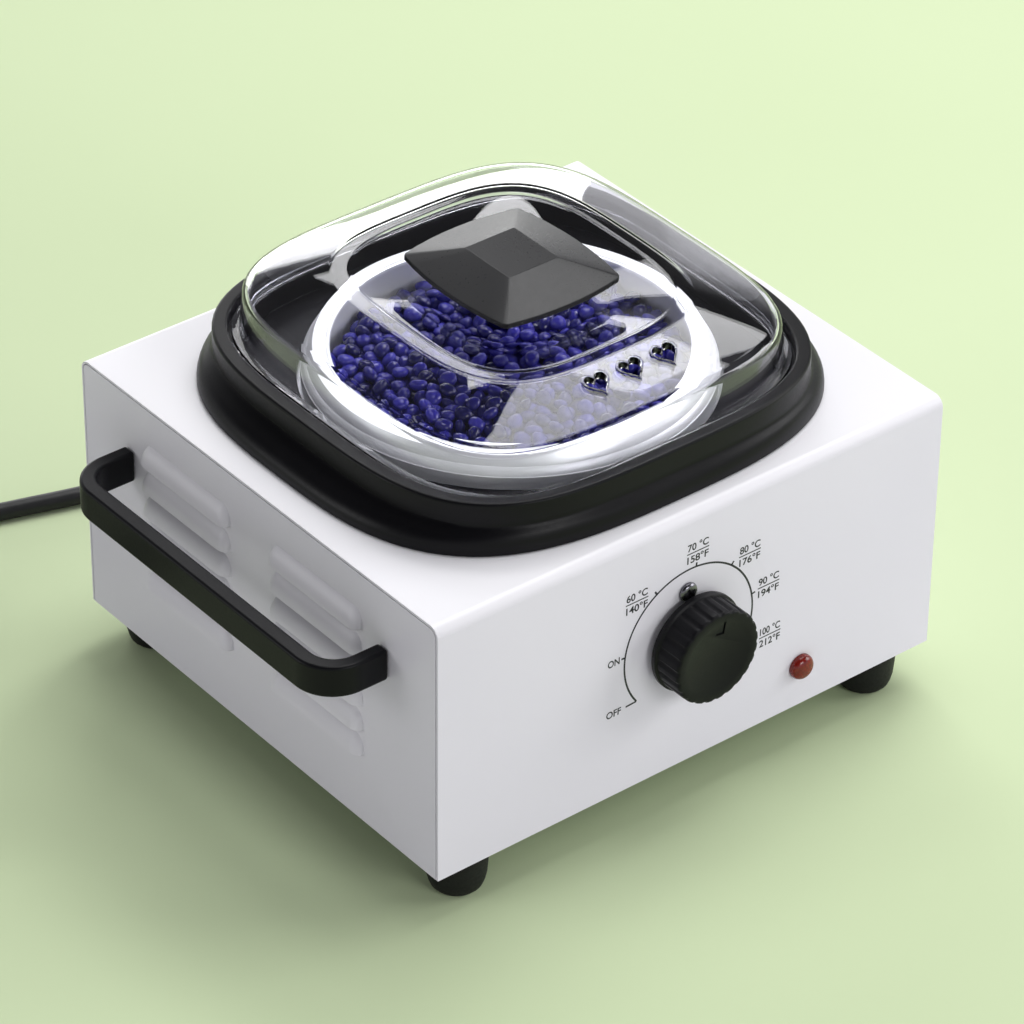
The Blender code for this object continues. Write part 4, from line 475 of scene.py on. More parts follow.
def settle(piece, body, slotName, nodes=(), stand=None, finish=None):
    # out of the casing's frame into the whole object's, dressed, and hung on its body
    pick(piece)
    if stand:
        piece.matrix_world = stand @ piece.matrix_world
    piece.matrix_world = Matrix.Translation(casingAt) @ piece.matrix_world
    bpy.ops.object.transform_apply(location=True, rotation=True, scale=True)
    piece.data.materials.clear()
    piece.data.materials.append(finishes[finish or slotName])
    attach(piece, body)
    if nodes:
        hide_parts(*nodes)
    return piece


def facing(direction, at):
    # a place whose own upright points in that direction
    turned = Vector(direction).to_track_quat("Z", "Y").to_matrix().to_4x4()
    return Matrix.Translation(Vector(at)) @ turned


def onFront(x, z, proud=0.0):
    # a place on the front panel, in whose own frame upright is forward
    stand = Matrix(((1, 0, 0), (0, 0, -1), (0, 1, 0))).to_4x4()
    stand.translation = Vector((x, -casing["halfDepth"] - proud, z))
    return stand


def addCube(place, size):
    quiet()
    bpy.ops.mesh.primitive_cube_add(size=1, location=place, scale=size)
    return bpy.context.object


def squarish(outline, level, inset=0.0, count=144):
    # a ring between circle and square: half width, half depth and how square it is
    a, b, power = outline[0] - inset, outline[1] - inset, outline[2]
    ring = []
    for k in range(count):
        turn = math.tau * k / count
        c, s = math.cos(turn), math.sin(turn)
        reach = (abs(c / a) ** power + abs(s / b) ** power) ** (-1 / power)
        ring.append(Vector((reach * c, reach * s, level)))
    return ring


def circle(radius, level, count=96):
    return squarish((radius, radius, 2.0), level, 0.0, count)


def mixed(a, b, share):
    return tuple(p + (q - p) * share for p, q in zip(a, b))


# Cord: the part's own route, from the gland to the coil, the coil, and on to the plug
cord = {
    "radius": 0.0037,
    "length": 1.482,
    "level": -0.0150,
    "coilAt": (-0.2043, 0.1755),
    "coilRadius": 0.0529,
    "coilTurns": 2.15,  # in each of the two layers
    "coilPitch": 0.0080,
    "coilStart": 73.0,
    "step": 0.0175,
    "glandEnd": (0, 0.14045, 0.0140),
    "plugFront": (-0.2625, 0.0520, -0.0002),
    "plugHeading": 266.0,
    "plugLength": 0.063,
}
leadRoute = [
    (-0.0012, 0.1560, 0.0112),
    (-0.0060, 0.1660, 0.0055),
    (-0.0150, 0.1745, -0.0025),
    (-0.0270, 0.1800, -0.0095),
    (-0.0400, 0.1832, -0.0136),
]
onTable = ((-0.0540, 0.1862), (-0.0702, 0.1900), (-0.0870, 0.1951), (-0.1048, 0.2006))
leadRoute += [(x, y, cord["level"]) for x, y in (*onTable, (-0.1250, 0.2068), (-0.1470, 0.2135))]
tailRoute = ((-0.2585, 0.1500, -0.0085), (-0.2592, 0.1360, -0.0060))
plugTurn = math.radians(cord["plugHeading"])
plugHeading = Vector((math.cos(plugTurn), math.sin(plugTurn), 0))


def coilRoute():
    turns = 2 * cord["coilTurns"]
    count = round(turns * 24)
    route = []
    for k in range(count + 1):
        turn = turns * k / count
        wound = cord["coilTurns"] - abs(turn - cord["coilTurns"])
        climb = min(1.0, max(0.0, (turn - cord["coilTurns"]) * 2 + 0.5))
        rise = cord["coilPitch"] * (1 - math.cos(math.pi * climb)) / 2
        radius = cord["coilRadius"] - cord["coilPitch"] * wound
        angle = math.radians(cord["coilStart"]) + math.tau * turn
        x, y = (cord["coilAt"][i] + radius * (math.cos(angle), math.sin(angle))[i] for i in (0, 1))
        route.append(Vector((x, y, cord["level"] + rise)))
    return route


def evenRoute(points):
    # a smooth run through the points, read at equal steps; first and last runs stay straight
    knots = [Vector(p) for p in points]
    fine = []
    for a, b, c, d in zip(knots, knots[1:], knots[2:], knots[3:]):
        for k in range(16):
            t = k / 16
            bend = (2 * a - 5 * b + 4 * c - d) * t**2 + (3 * b - a - 3 * c + d) * t**3
            fine.append((2 * b + (c - a) * t + bend) / 2)
    fine.append(knots[-2])
    runs = [(q - p).length for p, q in zip(fine, fine[1:])]
    count = max(2, round(sum(runs) / cord["step"]))
    route, walked, i = [fine[0]], 0.0, 0
    for k in range(1, count):
        target = sum(runs) * k / count
        while walked + runs[i] < target:
            walked += runs[i]
            i += 1
        route.append(fine[i].lerp(fine[i + 1], (target - walked) / runs[i]))
    return [knots[0]] + route + [fine[-1], knots[-1]]


def cordRoute():
    coil = coilRoute()
    straight = 2 * cord["radius"]
    comeIn, goOut = (coil[1] - coil[0]).normalized(), (coil[-1] - coil[-2]).normalized()
    comeIn.z = goOut.z = 0
    coil = [coil[0] - comeIn * straight] + coil + [coil[-1] + goOut * straight]
    start = Vector(cord["glandEnd"])
    end = coil[0] - comeIn * touch
    lead = evenRoute((start, start + backward * straight, *leadRoute, end - comeIn * straight, end))
    start = coil[-1] + goOut * touch
    end = Vector(cord["plugFront"]) - plugHeading * (cord["plugLength"] + touch)
    tail = evenRoute((start, start + goOut * straight, *tailRoute, end - plugHeading * straight, end))
    return lead[:-1] + coil + tail[1:]


def drawCord():
    # one open curve that passes through every point of the route
    route = cordRoute()
    curve = bpy.data.curves.new("lead", "CURVE")
    curve.dimensions = "3D"
    curve.bevel_depth = cord["radius"]
    curve.bevel_resolution = 6
    curve.use_fill_caps = True
    curve.resolution_u = curve.render_resolution_u = 4
    spline = curve.splines.new("BEZIER")
    spline.bezier_points.add(len(route) - 1)
    for knot, place in zip(spline.bezier_points, route):
        knot.co = place + casingAt
        knot.handle_left_type = knot.handle_right_type = "AUTO"
    lead = bpy.data.objects.new("lead", curve)
    bpy.context.collection.objects.link(lead)
    curve.materials.append(finishes["cord_jacket"])
    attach(lead, "casing")
    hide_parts("power_cord", "cord_coil", "cord_tail")
    return lead


lead = drawCord()
print("cord lies in its coil")

# Gland: a flange on the back panel and a ribbed, tapering sleeve
gland = {
    "at": (0, 0.11065, 0.0140),
    "flange": (0.0085, 0.0025),
    "sleeve": (0.0064, 0.0047, 0.027),
    "stem": (0.0057, 0.006),
    "bore": (0.0040, 0.004),
    "ribs": 7,
    "ribDepth": 0.0007,
}


def ribbedSleeve(first, last, level, length, ribs, depth, count=64):
    # rings of a tapering sleeve with grooves across it
    rings = []
    for k in range(ribs * 4 + 1):
        share = k / (ribs * 4)
        radius = first + (last - first) * share
        dip = depth if k % 4 in (2, 3) and k < ribs * 4 - 1 else 0
        rings.append(circle(radius - dip * (1 - 0.4 * share), level + length * share, count))
    return rings


def drawGland():
    (radius, thick), (stem, reach), (bore, deep) = (gland[k] for k in ("flange", "stem", "bore"))
    first, last, length = gland["sleeve"]
    end = thick + length
    rings = [circle(r, z, 64) for r, z in ((stem, -reach), (stem, 0), (radius, 0), (radius, thick))]
    rings += ribbedSleeve(first, last, thick, length, gland["ribs"], gland["ribDepth"])
    rings += [circle(bore, end, 64), circle(bore, end - deep, 64)]
    piece = drawRings("gland", rings, {2: 0.0003, 3: 0.0006})
    return settle(piece, "casing", "cord_jacket", ["cord_gland"], facing(backward, gland["at"]))


# Plug: a disc with a waisted grip and a ribbed sleeve, lying on its edge beside the coil
plug = {
    "disc": (0.0185, 0.015),
    "grip": (0.012, 0.023),
    "sleeve": (0.0058, 0.0049, 0.025),
    "pin": (0.0024, 0.019),
    "pinSpacing": 0.019,
    "clip": (0.0030, 0.0012),
    "gripRibs": 6,
}


def drawPlug():
    radius, disc = plug["disc"]
    gripRadius, grip = plug["grip"]
    first, last, length = plug["sleeve"]
    edge = cord["radius"] / 3
    outline = ((radius - edge, 0), (radius, edge), (radius, disc), (radius * 0.86, disc + 0.003))
    rings = [circle(r, z) for r, z in outline]
    steps, start = 24, 0.0065
    for k in range(steps + 1):
        share = k / steps
        waist = gripRadius * (1 - 0.10 * math.sin(math.pi * min(1, share * 1.25)))
        dip = 0.0005 if k % 4 in (2, 3) and 4 < k < 22 else 0
        rings.append(circle(waist - dip, disc + start + (grip - start) * share * 0.94))
    rings += [circle(gripRadius - edge * 1.6, disc + grip), circle(first + 0.0006, disc + grip)]
    level = disc + grip + 0.0002
    rings += ribbedSleeve(first, last, level, length - 0.0002, plug["gripRibs"], 0.0007, 96)
    body = drawRings("plugBody", rings, {1: 0.0008, 2: 0.0012})
    width, depth = plug["clip"]
    for side in (-1, 1):
        place = (side * (radius - depth * 0.5), 0, disc / 4 - 0.001)
        cutAway(body, addCube(place, (depth * 3, width + 2 * touch, disc / 2 + 0.002)))
    smoothen(body, 34)
    stand = Matrix((upward, plugHeading.cross(upward), -plugHeading)).transposed().to_4x4()
    stand.translation = Vector(cord["plugFront"])
    pieces = [settle(body, "casing", "cord_jacket", ["plug_body"], stand)]
    for side, word in ((-1, "lower"), (1, "upper")):
        place = (side * (radius - 1.5 * depth + touch / 2), 0, disc / 4)
        clip = addCube(place, (depth - touch, width, disc / 2 - 2 * touch))
        clip.name = clip.data.name = "plugClip_" + word
        bpy.ops.object.transform_apply(location=False, scale=True)
        bpy.ops.object.mode_set(mode="EDIT")
        bpy.ops.mesh.subdivide(number_cuts=3)
        bpy.ops.object.mode_set(mode="OBJECT")
        easeEdges(clip, 0.0002)
        smoothen(clip, 40)
        pieces.append(settle(clip, "casing", "plug_metal", ["plug_earth_clip_" + word], stand))
    pin, reach = plug["pin"]
    outline = ((pin, -touch), (pin, 0.0012 - reach), (pin * 0.80, 0.0004 - reach), (pin * 0.5, -reach))
    for side, word in ((-1, "left"), (1, "right")):
        rings = [circle(r, z, 40) for r, z in outline]
        piece = drawRings("plugPin_" + word, rings, {1: 0.0005, 3: 0.0003})
        place = stand @ Matrix.Translation((0, side * plug["pinSpacing"] / 2, 0))
        pieces.append(settle(piece, "casing", "plug_metal", ["plug_pin_" + word], place))
    return pieces


glandPiece = drawGland()
plugPieces = drawPlug()
print("gland and plug are on the cord")

# Casing: front, top and back folded from one sheet
casing = {
    "halfWidth": 0.120,
    "halfDepth": 0.11035,
    "height": 0.1132,
    "sheet": 0.001,
    "bend": 0.0045,
    "seam": 0.0004,
    "potHole": 0.0772,
    "shaftHole": 0.0050,
    "screwHole": 0.0019,
    "lampHole": 0.0038,
    "glandHole": 0.0060,
}
dialAt = (-0.0030, 0.0579)
lampAt = (0.0533, 0.0188)
dialSeat = Vector((dialAt[0], -casing["halfDepth"], dialAt[1]))
dialTilt = math.radians(4.5)
screwLean = Vector((-math.sin(dialTilt), 0, math.cos(dialTilt))) * 0.0215


def selectEdges(piece, wanted):
    mesh = bmesh.from_edit_mesh(piece.data)
    for edge in mesh.edges:
        edge.select = wanted(edge)
    bmesh.update_edit_mesh(piece.data)


def drawWrap():
    w, d, h, sheet = (casing[k] for k in ("halfWidth", "halfDepth", "height", "sheet"))
    quiet()
    bpy.ops.mesh.primitive_plane_add(size=1, location=(0, -d, h / 2), rotation=(math.pi / 2, 0, 0))
    wrap = bpy.context.object
    wrap.name = wrap.data.name = "casingFold"
    wrap.scale = (2 * w, h, 1)
    bpy.ops.object.transform_apply(location=True, rotation=True, scale=True)
    bpy.ops.object.mode_set(mode="EDIT")
    bpy.ops.mesh.select_mode(type="EDGE")
    selectEdges(wrap, lambda edge: all(v.co.z > h - 1e-5 for v in edge.verts))
    bpy.ops.mesh.extrude_edges_move(TRANSFORM_OT_translate={"value": (0, 2 * d, 0)})
    bpy.ops.mesh.extrude_edges_move(TRANSFORM_OT_translate={"value": (0, 0, -h)})
    for side in (-1, 1):
        selectEdges(
            wrap, lambda edge: all(v.co.z > h - 1e-5 and v.co.y * side > d - 1e-5 for v in edge.verts)
        )
        bpy.ops.mesh.bevel(offset=casing["bend"], segments=8, affect="EDGES")
    turnOutwards()
    thicken(wrap, sheet)
    easeEdges(wrap, 0.00018, 60)
    deep = sheet + 0.002
    drills = [rod(casing["potHole"], upward * (h - deep), upward * (h + 0.002), 96)]
    for name, place, out, sides in (
        ("shaftHole", dialSeat, forward, 32),
        ("screwHole", dialSeat - screwLean, forward, 20),
        ("screwHole", dialSeat + screwLean, forward, 20),
        ("lampHole", Vector((lampAt[0], -d, lampAt[1])), forward, 32),
        ("glandHole", Vector((0, d, gland["at"][2])), backward, 32),
    ):
        drills.append(rod(casing[name], place + out * 0.002, place - out * deep, sides))
    cutAway(wrap, joinAll(drills, "drills"))
    smoothen(wrap, 40)
    weighNormals(wrap)
    return settle(wrap, "casing", "white_enamel", ["casing_wrap"])


drawWrap()
print("casing is folded")

# Side panels: two columns of six pressed louvres each, and edges turned in
louvre = {
    "rows": 6,
    "topLip": 0.0883,
    "pitch": 0.0114,
    "length": 0.0546,
    "height": 0.0082,
    "standOut": 0.0036,
    "end": 0.0048,
    "columns": (-0.0387, 0.0423),
    "flange": 0.009,
}
endSteps = (0, 0.02, 0.06, 0.12, 0.2, 0.3, 0.42, 0.56, 0.72, 0.9, 1.1)
bowSteps = (0, 0.06, 0.14, 0.26, 0.38, 0.50, 0.62, 0.73, 0.83, 0.91, 0.97, 1.0)


def panelLines():
    # where the grid's lines stand: fine across each hood's ends and height, coarse between
    gap = casing["sheet"] + casing["seam"]
    w, h = casing["halfDepth"] - gap, casing["height"] - gap
    across = [-w, -w + 0.005]
    for column in louvre["columns"]:
        first, last = column - louvre["length"] / 2, column + louvre["length"] / 2
        inner = first + louvre["end"] * 1.1
        span = louvre["length"] - 2 * louvre["end"] * 1.1
        across += [first - 0.0030, first - 0.0004]
        across += [first + louvre["end"] * s for s in endSteps]
        across += [inner + span * k / 14 for k in range(1, 14)]
        across += [last - louvre["end"] * s for s in reversed(endSteps)]
        across += [last + 0.0004, last + 0.0030]
    across += [w - 0.005, w]
    rise = [0, 0.005, 0.012, 0.020, 0.0265]
    for row in reversed(range(louvre["rows"])):
        lip = louvre["topLip"] - louvre["pitch"] * row
        rise += [lip - 0.0006, lip]
        rise += [lip + louvre["height"] * s for s in bowSteps[1:]]
        rise += [lip + louvre["height"] + 0.0008]
    rise += [h - 0.008, h - 0.005, h]
    return across, rise


def swell(y):
    # how far a hood has risen at this place along it, from none at its end to full
    for column in louvre["columns"]:
        inside = louvre["length"] / 2 - abs(y - column)
        if inside > -1e-7:
            share = min(1, max(0, inside) / louvre["end"])
            return 0.16 + 0.84 * math.sqrt(1 - (1 - share) ** 2.2)
    return 0


def drawSidePanel():
    across, rise = panelLines()
    columns, rows = len(across), len(rise)
    quiet()
    bpy.ops.mesh.primitive_grid_add(x_subdivisions=columns - 1, y_subdivisions=rows - 1, size=1)
    panel = bpy.context.object
    panel.name = panel.data.name = "sidePanel_left"
    for vert in panel.data.vertices:
        vert.co = (-casing["halfWidth"], across[vert.index % columns], rise[vert.index // columns])
    lips = {}
    for row in range(louvre["rows"]):
        lip = louvre["topLip"] - louvre["pitch"] * row
        lips[min(range(rows), key=lambda j: abs(rise[j] - lip))] = lip
    inHood = [swell(y) > 0 for y in across]

    def isLip(edge):
        (j, i), (n, m) = (divmod(vert.index, columns) for vert in edge.verts)
        return j == n and j in lips and inHood[i] and inHood[m]

    bpy.ops.object.mode_set(mode="EDIT")
    bpy.ops.mesh.select_mode(type="EDGE")
    selectEdges(panel, isLip)
    bpy.ops.mesh.edge_split(type="EDGE")
    mesh = bmesh.from_edit_mesh(panel.data)
    for vert in mesh.verts:
        y, z = vert.co.y, vert.co.z
        grown = swell(y)
        for lip in lips.values():
            share = min(bowSteps, key=lambda s: abs(lip + louvre["height"] * s - z))
            onLine = abs(lip + louvre["height"] * share - z) < 1e-6
            levels = [face.calc_center_median().z for face in vert.link_faces]
            if onLine and grown and sum(levels) / len(levels) > lip:
                vert.co.z = lip + louvre["height"] * share * grown
                out = (1 - share**2.2) ** 0.9 if share < 1 else 0
                vert.co.x -= louvre["standOut"] * grown * out
                break
    bmesh.update_edit_mesh(panel.data)
    # the top corners take the fold's round, then the edge is turned in all round
    top, side = max(rise), max(across)
    mesh = bmesh.from_edit_mesh(panel.data)
    corners = {v.index for v in mesh.verts if v.co.z > top - 1e-6 and abs(v.co.y) > side - 1e-6}
    bpy.ops.mesh.select_mode(type="VERT")
    selectVerts(panel, corners)
    inner = casing["bend"] - casing["sheet"] - casing["seam"]
    bpy.ops.mesh.bevel(offset=inner, segments=6, affect="VERTICES")

    def isRim(edge):
        middle = (edge.verts[0].co + edge.verts[1].co) / 2
        outer = middle.z < 1e-5 or middle.z > top - 0.0035 or abs(middle.y) > side - 0.0035
        return edge.is_boundary and outer

    bpy.ops.mesh.select_mode(type="EDGE")
    selectEdges(panel, isRim)
    bpy.ops.mesh.extrude_edges_move(TRANSFORM_OT_translate={"value": (louvre["flange"], 0, 0)})
    turnOutwards()
    thicken(panel, casing["sheet"])
    easeEdges(panel, 0.00016, 50)
    smoothen(panel, 38)
    weighNormals(panel)
    return panel


def mirrorCopy(piece, name):
    # the same piece on the other side of the casing, with its faces turned outwards again
    copy = copyOf(piece, name)
    pick(copy)
    bpy.ops.object.mode_set(mode="EDIT")
    bpy.ops.mesh.select_all(action="SELECT")
    bpy.ops.transform.mirror(constraint_axis=(True, False, False), center_override=(0, 0, 0))
    bpy.ops.mesh.flip_normals()
    bpy.ops.object.mode_set(mode="OBJECT")
    return copy


leftPanel = drawSidePanel()
rightPanel = mirrorCopy(leftPanel, "sidePanel_right")
settle(leftPanel, "casing", "white_enamel", ["side_panel_left"])
settle(rightPanel, "casing", "white_enamel", ["side_panel_right"])
print("side panels are pressed")

# Feet: tapered rubber with a recess for the screw
foot = {
    "at": (0.1005, 0.09635),
    "radius": 0.012,
    "height": 0.019,
    "side": ((0, 1), (0.12, 1), (0.40, 0.985), (0.66, 0.95))
    + ((0.80, 0.90), (0.90, 0.84), (0.965, 0.745)),  # share of the height, share of the radius
    "flat": 0.0076,
    "recess": (0.0046, 0.010),
    "hole": 0.0022,
}
footCorners = {
    "front_left": (-1, -1),
    "front_right": (1, -1),
    "rear_left": (-1, 1),
    "rear_right": (1, 1),
}


def drawFeet():
    high, wide = foot["height"], foot["radius"]
    recess, deep = foot["recess"]
    hole, top = foot["hole"], -touch
    outline = [(hole, top)] + [(wide * r, top - (high - touch) * h) for h, r in foot["side"]]
    outline += [(foot["flat"], -high), (recess, -high), (recess, deep - high), (hole, deep - high)]
    rings = [circle(r, z, 72) for r, z in outline]
    first = drawRings("foot", rings, {1: 0.0006, 8: 0.0008, 9: 0.0005}, "bridge", smooth=40)
    for word, (x, y) in footCorners.items():
        copy = copyOf(first, "foot_" + word + "_rubber")
        copy.location = (x * foot["at"][0], y * foot["at"][1], 0)
        settle(copy, "casing", "rubber_foot", ["foot_" + word])
    bpy.data.objects.remove(first)


drawFeet()
print("feet are turned")

# Handle: a bar bent twice, eased all along, on the left side only
handle = {
    "face": 0.1203,
    "outer": 0.1495,
    "half": 0.082,
    "bend": 0.017,
    "bar": 0.007,
    "leg": 0.006,
    "bottom": 0.0752,
    "top": 0.0885,
    "edge": 0.0012,
}


def drawHandle():
    # the leg's end is an oblong, drawn out through two bends
    out, half, bend, leg, bar = (handle[k] for k in ("outer", "half", "bend", "leg", "bar"))
    depth, middle = handle["top"] - handle["bottom"], (handle["top"] + handle["bottom"]) / 2
    path = [(handle["face"], -half, 0, leg), (out - bend - 0.001, -half, 0, leg)]
    steps = 14
    for k in range(steps + 1):
        angle = math.pi / 2 * k / steps
        x, y = out - bend * (1 - math.sin(angle)), -half + bend * (1 - math.cos(angle))
        path.append((x, y, angle, leg + (bar - leg) * k / steps))
    path.append((out, -half + bend + 0.012, math.pi / 2, bar))
    path += [(x, -y, math.pi - angle, thick) for x, y, angle, thick in reversed(path)]
    rings = []
    for x, y, angle, thick in path:
        inward = Vector((math.sin(angle), math.cos(angle), 0)) * thick
        ring = []
        for share, rise in ((0, -0.5), (0, 0.5), (1, 0.5), (1, -0.5)):
            ring.append(Vector((-x, y, middle + rise * depth)) + inward * share)
        rings.append(ring)
    piece = drawRings("handleBar", rings)
    easeEdges(piece, handle["edge"], 50, 4)
    smoothen(piece, 35)
    weighNormals(piece)
    return settle(piece, "casing", "black_handle", ["side_handle"])


drawHandle()
print("handle is bent")

# Collar: two tiers outside, a ledge and a floor inside
collar = {
    "bottom": 0.1135,
    "top": 0.1332,
    "flange": (0.1083, 0.1010, 3.05),
    "rim": (0.0978, 0.0973, 3.45),
    "recess": (0.0910, 0.0915, 3.70),
    "side": ((0, 0), (0.10, 0.012), (0.17, 0.05), (0.25, 0.14), (0.33, 0.30))
    + ((0.39, 0.52), (0.44, 0.74), (0.49, 0.92), (0.53, 1)),
    "edge": 0.0011,
    "ledge": (0.1283, 0.0032),
    "floor": (0.1177, 0.1149),
    "hole": 0.0796,
    "wall": 0.0035,
}


def drawCollar():
    low, tall = collar["bottom"], collar["top"] - collar["bottom"]
    flange, rim, recess, edge, wall = (collar[k] for k in ("flange", "rim", "recess", "edge", "wall"))
    hole = (collar["hole"], collar["hole"], 2)
    ledge, width = collar["ledge"]
    floor, under = collar["floor"]
    rings = [squarish(mixed(flange, rim, share), low + tall * up) for up, share in collar["side"]]
    first = len(rings)
    rings += [squarish(rim, level) for level in (low + tall * 0.60, collar["top"])]
    rings += [squarish(recess, level) for level in (collar["top"], ledge)]
    rings += [squarish(recess, level, width) for level in (ledge, floor)]
    rings += [squarish(hole, level) for level in (floor, under)]
    rings += [squarish(recess, level, -edge) for level in (under, floor)]
    rings += [squarish(flange, level, wall) for level in (floor, low)]
    eases = dict(zip(range(first + 1, first + 6), (0.0012, 0.0010, 0.0003, 0.0006, 0.0004)))
    piece = drawRings("collarRing", rings, {0: 0.0004, **eases}, "bridge")
    weighNormals(piece)
    return settle(piece, "casing", "black_collar", ["collar"])


drawCollar()
print("collar is moulded")

# Heating chamber: a spun well with a flange
chamber = {
    "bore": 0.0740,
    "wall": 0.0012,
    "flange": 0.0970,
    "top": 0.1144,
    "under": 0.1135,
    "floor": 0.0205,
    "corner": 0.005,
}


def roundedCorner(inner, level, radius, steps=6):
    # a quarter round between a floor and a wall
    angles = [math.pi / 2 * k / steps for k in range(steps + 1)]
    return [(inner + radius * math.sin(a), level + radius * (1 - math.cos(a))) for a in angles]


def drawChamber():
    bore, wall, floor, corner = (chamber[k] for k in ("bore", "wall", "floor", "corner"))
    top, under, flange = (chamber[k] for k in ("top", "under", "flange"))
    profile = [(0.02, floor), (0.045, floor)] + roundedCorner(bore - corner, floor, corner)
    profile += [(bore, top), (flange, top), (flange, under), (bore + wall, under)]
    profile += reversed(roundedCorner(bore - corner, floor - wall, corner + wall))
    profile += [(0.045, floor - wall), (0.02, floor - wall)]
    piece = drawRings("chamberWell", [circle(r, z) for r, z in profile], {10: 0.0004, 11: 0.0003})
    return settle(piece, "casing", "spun_aluminium", ["heating_chamber"])


drawChamber()
print("chamber is spun")

# Pot: a flat crown with a lip and a fine groove, a flared skirt, a floor with a round corner
pot = {
    "opening": 0.0724,
    "wall": 0.001,
    "lip": 0.0675,
    "crown": 0.0745,
    "top": 0.1292,
    "skirt": 0.0782,
    "skirtWall": 0.0013,
    "flare": 0.12195,
    "foot": 0.1147,
    "floor": 0.0235,
    "corner": 0.006,
    "groove": (0.0012, 0.0003),
    "steps": 2,
}


def drawPot():
    o, wall, corner, low, top = (pot[k] for k in ("opening", "wall", "corner", "floor", "top"))
    lip, crown, skirt, foot, flare = (pot[k] for k in ("lip", "crown", "skirt", "foot", "flare"))
    place, dip = pot["groove"]
    profile = [(0.015, low + wall), (0.045, low + wall)]
    profile += roundedCorner(o - corner, low + wall, corner, 8)
    profile += [(o, top - 0.0024), (o - 0.0003, top - 0.0020), (lip + 0.0002, top - 0.0020)]
    profile += [(lip, top - 0.0017), (lip, top - 0.0009), (lip + 0.0002, top - 0.0003)]
    profile += [(lip + 0.0008, top), (lip + place, top)]
    profile += [(lip + place + dip, top - dip), (lip + place + 2 * dip, top)]
    profile += [(crown - 0.0012, top), (crown - 0.0004, top - 0.0002), (crown, top - 0.0009)]
    for k in range(1, pot["steps"] + 1):
        share = k / pot["steps"]
        r, z = mixed((crown, top - 0.0009), (skirt, flare), share)
        profile += [(r - 0.00030, z + 0.0004), (r - 0.00024, z + 0.0002), (r, z)]
    profile += [(skirt, foot + 0.0036), (skirt - 0.0003, foot + 0.0030), (skirt - 0.0003, foot)]
    inner = skirt - pot["skirtWall"]
    profile += [(inner, foot), (inner, flare), (o + wall, top - wall - pot["skirtWall"])]
    profile += reversed(roundedCorner(o - corner, low, corner + wall, 8))
    profile += [(0.045, low), (0.015, low)]
    piece = drawRings("potShell", [circle(r, z, 128) for r, z in profile])
    return settle(piece, "pot", "polished_aluminium", ["inner_pot"])


drawPot()
print("pot is spun")

# Wax: a core that fills the pot, and beans poured on it
wax = {
    "radius": 0.0719,
    "floor": 0.0248,
    "coreTop": 0.1080,  # the core hides what no bean fills
    "top": 0.1176,
    "bean": (0.0068, 0.0059, 0.0048),
    "spacing": 0.0053,
    "count": 900,
    "tries": 26,
    "seed": 7,
}


def drawBean():
    # one bean: a ball flattened, then dented along one side
    quiet()
    bpy.ops.mesh.primitive_uv_sphere_add(segments=10, ring_count=7, radius=1)
    bean = bpy.context.object
    long, wide, thick = (size / 2 for size in wax["bean"])
    for vert in bean.data.vertices:
        x, y, z = vert.co
        dent = 0.35 * max(0, x - 0.55)
        bend = 0.14 * wide * z * z
        vert.co = (z * long, y * wide * (1 + 0.08 * x) + bend, (x - dent) * thick)
    bpy.ops.object.shade_smooth()
    return bean


def pourBeans():
    # each bean tries a few places and settles at the lowest, as poured grain does
    dice = random.Random(wax["seed"])
    size = wax["spacing"]
    cells = {}
    beds = []
    limit = wax["radius"] - size * 0.56

    def restingHeight(x, y):
        level = wax["coreTop"] + size * 0.35
        i, j = int(x // size), int(y // size)
        near = [cells.get((i + m, j + n), ()) for m in (-1, 0, 1) for n in (-1, 0, 1)]
        for a, b, c in (spot for cell in near for spot in cell):
            gap = (a - x) ** 2 + (b - y) ** 2
            if gap < size * size:
                level = max(level, c + math.sqrt(size * size - gap) * 0.78)
        return level

    while len(beds) < wax["count"]:
        best = None
        for k in range(wax["tries"]):
            reach, turn = limit * math.sqrt(dice.random()), math.tau * dice.random()
            x, y = reach * math.cos(turn), reach * math.sin(turn)
            level = restingHeight(x, y) + 0.0012 * (reach / limit) ** 2
            if best is None or level < best[0]:
                best = (level, x, y)
        level, x, y = best
        if level > wax["top"]:
            break
        spot = (x, y, restingHeight(x, y))
        beds.append(spot)
        cells.setdefault((int(x // size), int(y // size)), []).append(spot)
    return beds


def drawWax():
    profile = [(0.02, wax["floor"]), (0.060, wax["floor"])]
    profile += [(wax["radius"] - 0.002, wax["floor"] + 0.0015), (wax["radius"], wax["floor"] + 0.006)]
    profile += [(wax["radius"], wax["coreTop"] - 0.001), (wax["radius"] - 0.001, wax["coreTop"])]
    profile += [(0.04, wax["coreTop"] + 0.0006), (0.01, wax["coreTop"] + 0.0008)]
    core = drawRings("waxFill", [circle(r, z, 72) for r, z in profile])
    settle(core, "pot", "blue_wax", ["wax_beads"])
    bean = drawBean()
    dice = random.Random(wax["seed"] + 1)
    beans = []
    for x, y, z in pourBeans():
        copy = copyOf(bean, "bean")
        turn = Matrix.Rotation(dice.uniform(0, math.tau), 4, "Z")
        lean = Matrix.Rotation(dice.gauss(0, 0.45), 4, "X")
        lean = lean @ Matrix.Rotation(dice.gauss(0, 0.40), 4, "Y")
        size = Matrix.Scale(dice.uniform(0.90, 1.10), 4)
        copy.matrix_world = Matrix.Translation((x, y, z)) @ turn @ lean @ size
        tone = copy.data.attributes.new("tone", "FLOAT", "POINT")
        tone.data.foreach_set("value", [dice.random()] * len(copy.data.vertices))
        beans.append(copy)
    bpy.data.objects.remove(bean)
    print("beans poured:", len(beans))
    pile = joinAll(beans, "waxBeans")
    pick(pile)
    bpy.ops.object.transform_apply(location=True, rotation=True, scale=True)
    return settle(pile, "pot", "blue_wax")


drawWax()
print("wax is poured")

